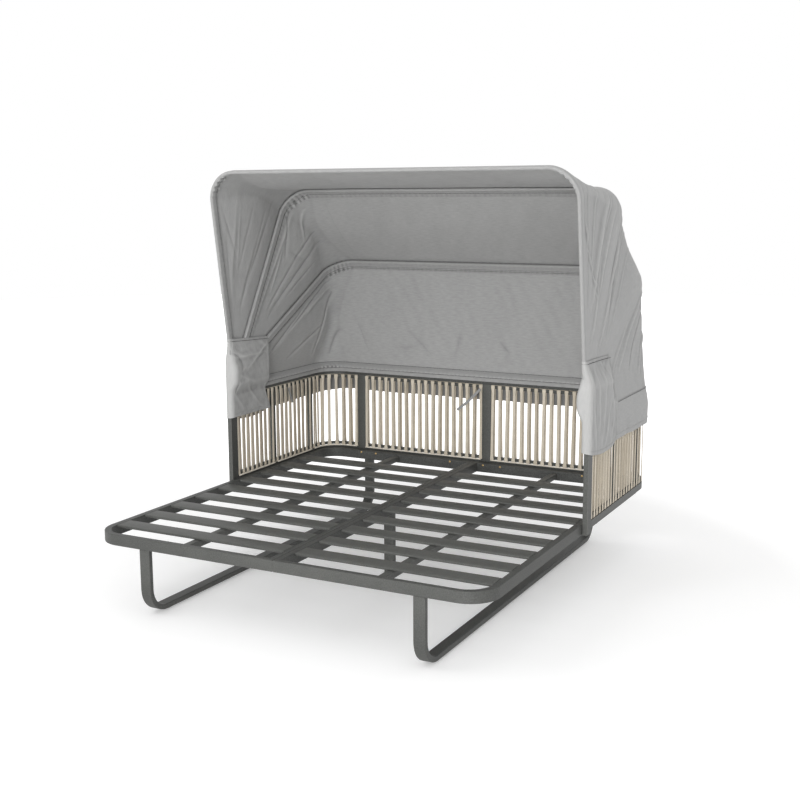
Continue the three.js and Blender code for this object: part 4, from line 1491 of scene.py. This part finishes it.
def flap_row(share, side):
    """One row at a share of the way down: outside from back to front, the nose, inside to the back."""
    level = flap_top(0) + share * (flap_low - flap_top(0))
    front = float(flap_nose(level))
    outer_y = np.linspace(flap_back, front + nose_round, outer_count)
    inner_y = np.linspace(front + nose_round, flap_inner_back(level), inner_count)
    turn = np.linspace(0, math.pi / 2, nose_count)
    y = np.concatenate([outer_y[:-1], front + nose_round * (1 - np.sin(turn)),
                        front + nose_round * (1 - np.cos(turn)), inner_y[1:]])
    nose = np.linspace(1, 0, 2 * nose_count)
    outer = np.concatenate([np.ones(outer_count - 1), nose, np.zeros(inner_count - 1)])
    z = flap_top(y) + share * (flap_bottom(y, outer) - flap_top(y))
    x_out = flap_outer_x(y, z)
    x_in = flap_inner_x(y, z)
    bend = np.minimum(nose_round, (x_out - x_in) / 2)
    x = np.where(outer > 0.999, x_out, x_in)
    first = slice(outer_count - 1, outer_count - 1 + nose_count)
    second = slice(outer_count - 1 + nose_count, outer_count - 1 + 2 * nose_count)
    x[first] = x_out[first] - bend[first] * (1 - np.cos(turn))
    x[second] = x_in[second] + bend[second] * (1 - np.sin(turn))
    face = np.where(outer > 0.999, 1.0, np.where(outer < 0.001, -1.0, 0.0))
    return np.stack([side * x, y, z], axis=1), face


def flap_creases(side):
    x_out, x_in = side * flap_out, side * flap_in
    soft, sharp = 0.017, 0.012
    return [
        ((x_out, 0.03, 0.905), (x_out, 0.06, 0.700), soft, 0.0040),
        ((x_out, 0.10, 0.900), (x_out, 0.13, 0.640), sharp, 0.0030),
        ((x_out, 0.20, 0.880), (x_out, 0.17, 0.600), soft, 0.0040),
        ((x_out, 0.26, 0.860), (x_out, 0.30, 0.700), sharp, 0.0034),
        ((x_out, 0.25, 0.720), (x_out, 0.20, 0.570), sharp, 0.0034),
        ((x_out, 0.05, 0.740), (x_out, 0.09, 0.575), soft, 0.0036),
        ((x_out, 0.31, 0.680), (x_out, 0.26, 0.560), sharp, 0.0030),
        ((x_in, 0.00, 0.834), (x_in, 0.27, 0.842), sharp, 0.0038),
        ((x_in, 0.262, 0.882), (x_in, 0.10, 0.775), sharp, 0.0040),
        ((x_in, 0.00, 0.872), (x_in, 0.10, 0.832), soft, 0.0040),
        ((x_in, 0.10, 0.720), (x_in, 0.25, 0.580), sharp, 0.0040),
        ((x_in, 0.04, 0.760), (x_in, 0.20, 0.700), soft, 0.0040),
        ((x_in, 0.20, 0.900), (x_in, 0.27, 0.850), soft, 0.0036),
        ((x_in, 0.02, 0.690), (x_in, 0.10, 0.600), sharp, 0.0030),
    ]


# %% Flaps
flap_rows = 96
flap_crease_reach = 0.032
flap_slow_ripple, flap_slow_length = 0.0008, 0.09
flap_quick_ripple, flap_quick_length = 0.0006, 0.04
flap_puff = 0.0010
seam_hold = 0.025
flap_seam_lift = seam_lift + 0.0008


def sew_flap(word, side):
    made = [flap_row(share, side) for share in np.linspace(0, 1, flap_rows)]
    grid = np.array([row for row, _ in made])
    face = np.array([row for _, row in made])
    push = flap_slow_ripple * ripple(grid, flap_slow_length)
    push = push + flap_quick_ripple * ripple(grid, flap_quick_length) + flap_puff
    for line in flap_creases(side):
        push = push + crease(grid, *line, flap_crease_reach)
    from_top = np.linspace(0, 1, flap_rows)[:, None] * (flap_high - flap_low)
    grid[..., 0] += side * face * np.maximum(push, 0) * smooth(from_top / seam_hold)
    if side > 0:
        grid, face = grid[:, ::-1], face[:, ::-1]
    patches = [(grid, grid_normals(grid), grid_lengths(grid))]
    flat = flat_strip(patches, flap_high - flap_low)
    look = (cloth, flap_thickness)
    sewn_sheet(f"{word}_flap", "daybed_frame", patches, look, flat, "canopy_skirt")
    lifted = grid + np.stack([side * face * flap_seam_lift, 0 * face, 0 * face], axis=2)
    return [lifted[3]], [lifted[-5], lifted[:, 3], lifted[:, -4]]


left_top, left_hems = sew_flap("left", -1)
right_top, right_hems = sew_flap("right", 1)
dark_count = 3
sew("skirt_and_flap_seams", "daybed_frame", wall_seams[:dark_count] + left_top + right_top, thread)
sew("skirt_and_flap_hems", "daybed_frame", wall_seams[dark_count:] + left_hems + right_hems, pale_thread)

# %% [markdown]
# Two short tapes hang loose from the skirt, for tying the cover to the wall. Each is a narrow strip.

# %% Tie tapes
tape_width = 0.012
tape_sag = 0.006


def hang_tape(name, top, bottom, across):
    share = np.linspace(0, 1, 25)[:, None]
    top, bottom, across = np.array(top), np.array(bottom), np.array(across)
    sag = np.sin(math.pi * share) * np.array([0, 0, -tape_sag])
    middle = top + share * (bottom - top) + sag
    grid = middle[:, None] + np.linspace(-0.5, 0.5, 5)[None, :, None] * across * tape_width
    patches = [(grid, grid_normals(grid), grid_lengths(grid))]
    flat = (tape_width, cloth_area(patches) / tape_width)
    sewn_sheet(name, "daybed_frame", patches, (trim,), flat)


hang_tape("back_tie_tape", (0.026, 0.823, 0.640), (-0.091, 0.820, 0.533), (0.67, 0, -0.74))
hang_tape("left_tie_tape", (-0.791, 0.466, 0.640), (-0.790, 0.496, 0.566), (0, 0.93, 0.37))

# %% [markdown]
# The rope is one flat band that runs down the inside, under the lower bar, up the outside and over the
# upper bar to the next turn. One turn is modelled, and a Geometry Nodes tree sets it along each bay.

# %% One turn of rope
rope_width = 0.014
rope_thickness = 0.0028
rope_bend = 0.0034
bar_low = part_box("surround_lower_bar")[0]
bar_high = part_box("surround_upper_bar")[1]
bar_half = 0.0055
beside_bar = 0.0016
over_bar = 0.0006
rope_out = bar_half + beside_bar + rope_thickness / 2
rope_bottom = bar_low.z - over_bar - rope_thickness / 2
rope_top = bar_high.z + over_bar + rope_thickness / 2
rope_middle = (rope_top + rope_bottom) / 2
free_shares = (0.02, 0.045, 0.07, 0.3, 0.5, 0.7, 0.93, 0.955, 0.98)
spread_on_bar = 1.32
inner_lean = 0.0015
under_shift = 0.0015
free_width_share = 0.94
bend_points = 5
bar_points = 5
bar_reach = 0.85
spread_from = 0.024
spread_over = 0.012
section_sides = 12
flat_power = 0.6
round_power = 0.8
face_gap = 0.02


def turn_path(pitch):
    """Points of one turn as (along, out, height) and the way the band's outer face looks."""
    side = rope_out - rope_bend
    top, bottom = rope_top - rope_middle, rope_bottom - rope_middle
    high, low = top - rope_bend, bottom + rope_bend
    places = []

    def add(along, out, height, angle):
        places.append((along, out, height, angle))

    def bend(out, height, begin, end, along=0.0):
        for angle in np.linspace(begin, end, bend_points):
            add(along, out + rope_bend * math.cos(angle), height + rope_bend * math.sin(angle), angle)

    for share in np.linspace(0, bar_reach, bar_points):
        add(-pitch / 2 * (1 - share), -side * share, top, math.pi / 2)
    bend(-side, high, math.pi / 2, math.pi)
    for share in free_shares:
        add(-inner_lean * share, -rope_out, high + share * (low - high), math.pi)
    bend(-side, low, math.pi, 1.5 * math.pi, -inner_lean)
    add((under_shift - inner_lean) / 2, 0, bottom, 1.5 * math.pi)
    bend(side, low, 1.5 * math.pi, 2 * math.pi, under_shift)
    for share in free_shares:
        add(under_shift * (1 - share), rope_out, low + share * (high - low), 2 * math.pi)
    bend(side, high, 2 * math.pi, 2.5 * math.pi)
    for share in np.linspace(bar_reach, 0, bar_points):
        add(pitch / 2 * (1 - share), side * share, top, 2.5 * math.pi)
    return places


def rope_spread(height):
    """The band is pressed flat and wide where it bends round a bar, and narrow on its free length."""
    from_end = rope_top - rope_middle - abs(height)
    near = float(smooth((spread_from - from_end) / spread_over))
    return free_width_share + (spread_on_bar - free_width_share) * near


def band_outline():
    """The band's section: a flat oval with rounded edges, as (across, through) pairs."""
    pairs = []
    for angle in np.linspace(0, 2 * math.pi, section_sides, endpoint=False)[::-1]:
        across, through = math.cos(angle), math.sin(angle)
        pairs.append((math.copysign(abs(across) ** flat_power, across) * rope_width / 2,
                      math.copysign(abs(through) ** round_power, through) * rope_thickness / 2))
    return pairs


def rope_turn(name, pitch):
    """One turn: the section swept along the turn's path. On the UV map its two faces lie side by side."""
    places = turn_path(pitch)
    rings, uv, run = [], [], 0.0
    for i, (along, out, height, angle) in enumerate(places):
        if i:
            run += math.dist((along, out, height), places[i - 1][:3])
        ring = []
        for flat, thick in band_outline():
            flat *= rope_spread(height)
            ring.append((along + flat, out + thick * math.cos(angle), height + thick * math.sin(angle)))
            uv.append((flat + (face_gap if thick > 0 else 0), run))
        rings.append(ring)
    return tube_object(name, [rings], uv, capped=False)


# %% Winding tree


def winding_tree():
    tree = Tree("winding", {"Turns": "Int", "Sway": "Float", "Lean": "Float"})
    spots = tree.spots("COUNT", Count=tree.given["Turns"])
    facing = tree.node("FunctionNodeAlignRotationToVector", {"axis": "X", "pivot_axis": "Z"},
                       {"Vector": spots["Tangent"]})[0]
    turned = []
    for label, seed in (("Lean", 12), ("Sway", 7)):
        centred = tree.node("ShaderNodeMath", {"operation": "SUBTRACT"}, {0: tree.chance(seed), 1: 0.5})[0]
        sockets = {0: centred, 1: tree.given[label]}
        turned.append(tree.node("ShaderNodeMath", {"operation": "MULTIPLY"}, sockets)[0])
    axis = tree.node("ShaderNodeCombineXYZ", None, {"Y": turned[0], "Z": turned[1]})[0]
    twist = tree.node("FunctionNodeEulerToRotation", None, {0: axis})[0]
    both = tree.node("FunctionNodeRotateRotation", {"rotation_space": "LOCAL"}, {0: facing, 1: twist})[0]
    laid = tree.laid(spots["Points"], Rotation=both)
    settings = {"data_type": "FLOAT", "domain": "INSTANCE"}
    sockets = {0: laid, "Name": "tone", "Value": tree.chance(3)}
    return tree.finished(tree.node("GeometryNodeStoreNamedAttribute", settings, sockets)[0])


winding = winding_tree()

# %% Rope bays
rope_pitch = 0.0355
rope_sway = 0.10
rope_lean = 0.018
bay_steps = 60
fine_step = 0.004
wall_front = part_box("surround_top_rail")[0].y
wall_points, _, wall_lengths = wall_frames(wall_front, fine_step)


def length_at(x, y):
    gaps = np.hypot(wall_points[:, 0] - x, wall_points[:, 1] - y)
    return float(wall_lengths[gaps.argmin()])


def point_at(length):
    x, y = (float(np.interp(length, wall_lengths, wall_points[:, i])) for i in range(2))
    return x, y, rope_middle


def bay_limits(name):
    """Where a bay's first and last turn stand along the wall, read from its CAD solid's corners."""
    corners = np.array([v.co for v in nodes[name].data.vertices])
    lengths = [length_at(x, y) for x, y in corners[::3, :2]]
    return min(lengths) + rope_width / 2, max(lengths) - rope_width / 2


def wind_bay(name):
    first, last = bay_limits(name)
    turns = round((last - first) / rope_pitch) + 1
    pitch = (last - first) / (turns - 1)
    line = [point_at(s) for s in np.linspace(first, last, bay_steps)]
    values = {"Turns": turns, "Sway": rope_sway, "Lean": rope_lean}
    piece = grown(name + "_wound", [line], winding, rope_turn(name + "_turn", pitch), braid, values)
    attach(piece, "daybed_frame")
    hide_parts(name)
    print(piece.name, turns, "turns,", len(piece.data.polygons), "faces")


for name in sorted(rope_nodes):
    wind_bay(name)

# %% [markdown]
# A thin strand of paler yarn lies along the foot of the winding inside, between the posts. It is a round
# tube swept along the wall's line, a little inside the bar.

# %% Strand at the foot
strand_radius = 0.0032
strand_inside = 0.0138
strand_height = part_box("surround_base_rail")[1].z + strand_radius
strand_sides = 6
strand_step = 0.012
strand_end = 0.004
look_ahead = 0.004
foot_yarn = sewing_thread("foot_yarn", rgba(206, 198, 182), rgba(242, 236, 224))


def strand_ring(length):
    """A ring round the strand's middle line, at a length along the wall."""
    here, ahead = point_at(length), point_at(length + look_ahead)
    way = np.array([ahead[0] - here[0], ahead[1] - here[1]])
    way = way / max(np.linalg.norm(way), 1e-9)
    outward = np.array([-way[1], way[0], 0.0])
    centre = np.array([here[0], here[1], strand_height]) - outward * strand_inside
    upward = np.array([0, 0, 1.0])
    return [centre + strand_radius * (math.cos(a) * outward + math.sin(a) * upward)
            for a in np.linspace(0, 2 * math.pi, strand_sides, endpoint=False)]


def lay_strand():
    tubes = []
    for name in sorted(rope_nodes):
        first, last = bay_limits(name)
        count = round((last - first) / strand_step)
        stations = np.linspace(first - rope_width / 2, last + rope_width / 2 - strand_end, count)
        tubes.append([strand_ring(length) for length in stations])
    piece = tube_object("foot_strand", tubes)
    piece.data.materials.append(foot_yarn)
    scene.collection.objects.link(piece)
    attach(piece, "daybed_frame")
    print("foot_strand", len(piece.data.polygons), "faces")


lay_strand()

# %% [markdown]
# Small bolts join the base rail to the deck. Each head is a low hexagon with a domed top, and a tree puts
# one at each place seen in the photograph, standing on the back rail's inner face.

# %% Bolt heads
bolt_across = 0.010
bolt_height = 0.004
bolt_under_top = 0.008
bolt_shares = ((0.5, 0.0), (0.5, 0.6), (0.42, 0.8), (0.24, 0.95))
deck_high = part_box("left_deck_frame")[1]
back_rail_width = 0.040
back_rail_face = deck_high.y - back_rail_width
bolt_level = deck_high.z - bolt_under_top
bolt_places = (-0.590, -0.510, -0.114, 0.055, 0.140, 0.534)


def bolt_head():
    rings = []
    for size, height in bolt_shares:
        radius = size * bolt_across
        rings.append([(radius * math.cos(turn), -height * bolt_height, radius * math.sin(turn))
                      for turn in np.linspace(0, 2 * math.pi, 6, endpoint=False)])
    return tube_object("bolt_head", [rings], rounded=False)


def fastening_tree():
    tree = Tree("fastening", {})
    spots = tree.node("GeometryNodeMeshToPoints", None, {0: tree.given["Geometry"]})[0]
    return tree.finished(tree.laid(spots))


bolt_line = [(x, back_rail_face, bolt_level) for x in bolt_places]
bolts = grown("back_rail_bolts", [bolt_line], fastening_tree(), bolt_head(), brass)
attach(bolts, "daybed_frame")
print("back_rail_bolts", len(bolt_places), "heads")

# %% [markdown]
# The floor is pale and plain. The lights are a soft lamp from the upper left, a wide one low in front, and
# an even surrounding light, at a level where a surface renders about as its own colour is written.

# %% Floor and lights
floor_radius = 14.0
floor_sides = 48
floor_tone = (0.84, 0.84, 0.84, 1)
near_glow = 0.24
glow_from = 1.6
surround_level = 0.81
key_place, key_target = (-2.6, -3.4, 4.6), (0, 0, 0.5)
key_size, key_power = 2.6, 42.0
fill_place, fill_target = (1.45, -5.4, 1.3), (0, 0.2, 1.0)
fill_size, fill_power = 3.0, 176.0


def seen_directly(paint):
    path = paint.node("ShaderNodeLightPath")
    outputs = path.socket.node.outputs
    camera_ray = Signal(paint, outputs["Is Camera Ray"])
    glossy = Signal(paint, outputs["Is Glossy Ray"])
    through_glass = Signal(paint, outputs["Is Transmission Ray"])
    return (camera_ray + glossy + through_glass).clamped()


def lay_floor():
    paint = Paint("pale_floor")
    place = paint.place()
    away = paint.node("ShaderNodeVectorMath", {"operation": "LENGTH"}, {0: place}, "Value")
    far = ((away - glow_from) / glow_from).clamped()
    glow = seen_directly(paint) * (near_glow + far * (1 - near_glow))
    paint.feed(paint.shader.inputs["Emission Color"], glow)
    paint.shader.inputs["Emission Strength"].default_value = 1.0
    paint.finish(floor_tone, 0.9)
    mesh = bpy.data.meshes.new("floor")
    ring = [(floor_radius * math.cos(turn), floor_radius * math.sin(turn), 0)
            for turn in np.linspace(0, 2 * math.pi, floor_sides, endpoint=False)]
    mesh.from_pydata(ring, [], [tuple(range(floor_sides))])
    mesh.materials.append(paint.material)
    floor = bpy.data.objects.new("floor", mesh)
    scene.collection.objects.link(floor)


def light_world():
    world = bpy.data.worlds.new("studio")
    world.use_nodes = True
    scene.world = world
    tree = world.node_tree
    back = tree.nodes["Background"]
    path = tree.nodes.new("ShaderNodeLightPath")
    first = tree.nodes.new("ShaderNodeMath")
    first.operation = "MAXIMUM"
    tree.links.new(path.outputs["Is Camera Ray"], first.inputs[0])
    tree.links.new(path.outputs["Is Glossy Ray"], first.inputs[1])
    level = tree.nodes.new("ShaderNodeMapRange")
    level.inputs["To Min"].default_value = surround_level
    level.inputs["To Max"].default_value = 1.0
    tree.links.new(first.outputs[0], level.inputs["Value"])
    tree.links.new(level.outputs[0], back.inputs["Strength"])
    back.inputs["Color"].default_value = (1, 1, 1, 1)


def hang_lamp(name, place, target, size, power):
    lamp = bpy.data.lights.new(name, "AREA")
    lamp.shape = "DISK"
    lamp.size = size
    lamp.energy = power
    made = bpy.data.objects.new(name, lamp)
    way = Vector(target) - Vector(place)
    made.matrix_world = Matrix.Translation(place) @ way.to_track_quat("-Z", "Y").to_matrix().to_4x4()
    scene.collection.objects.link(made)


lay_floor()
light_world()
hang_lamp("key", key_place, key_target, key_size, key_power)
hang_lamp("fill", fill_place, fill_target, fill_size, fill_power)
scene.view_settings.view_transform = "Standard"

# %% [markdown]

# %% End
import json
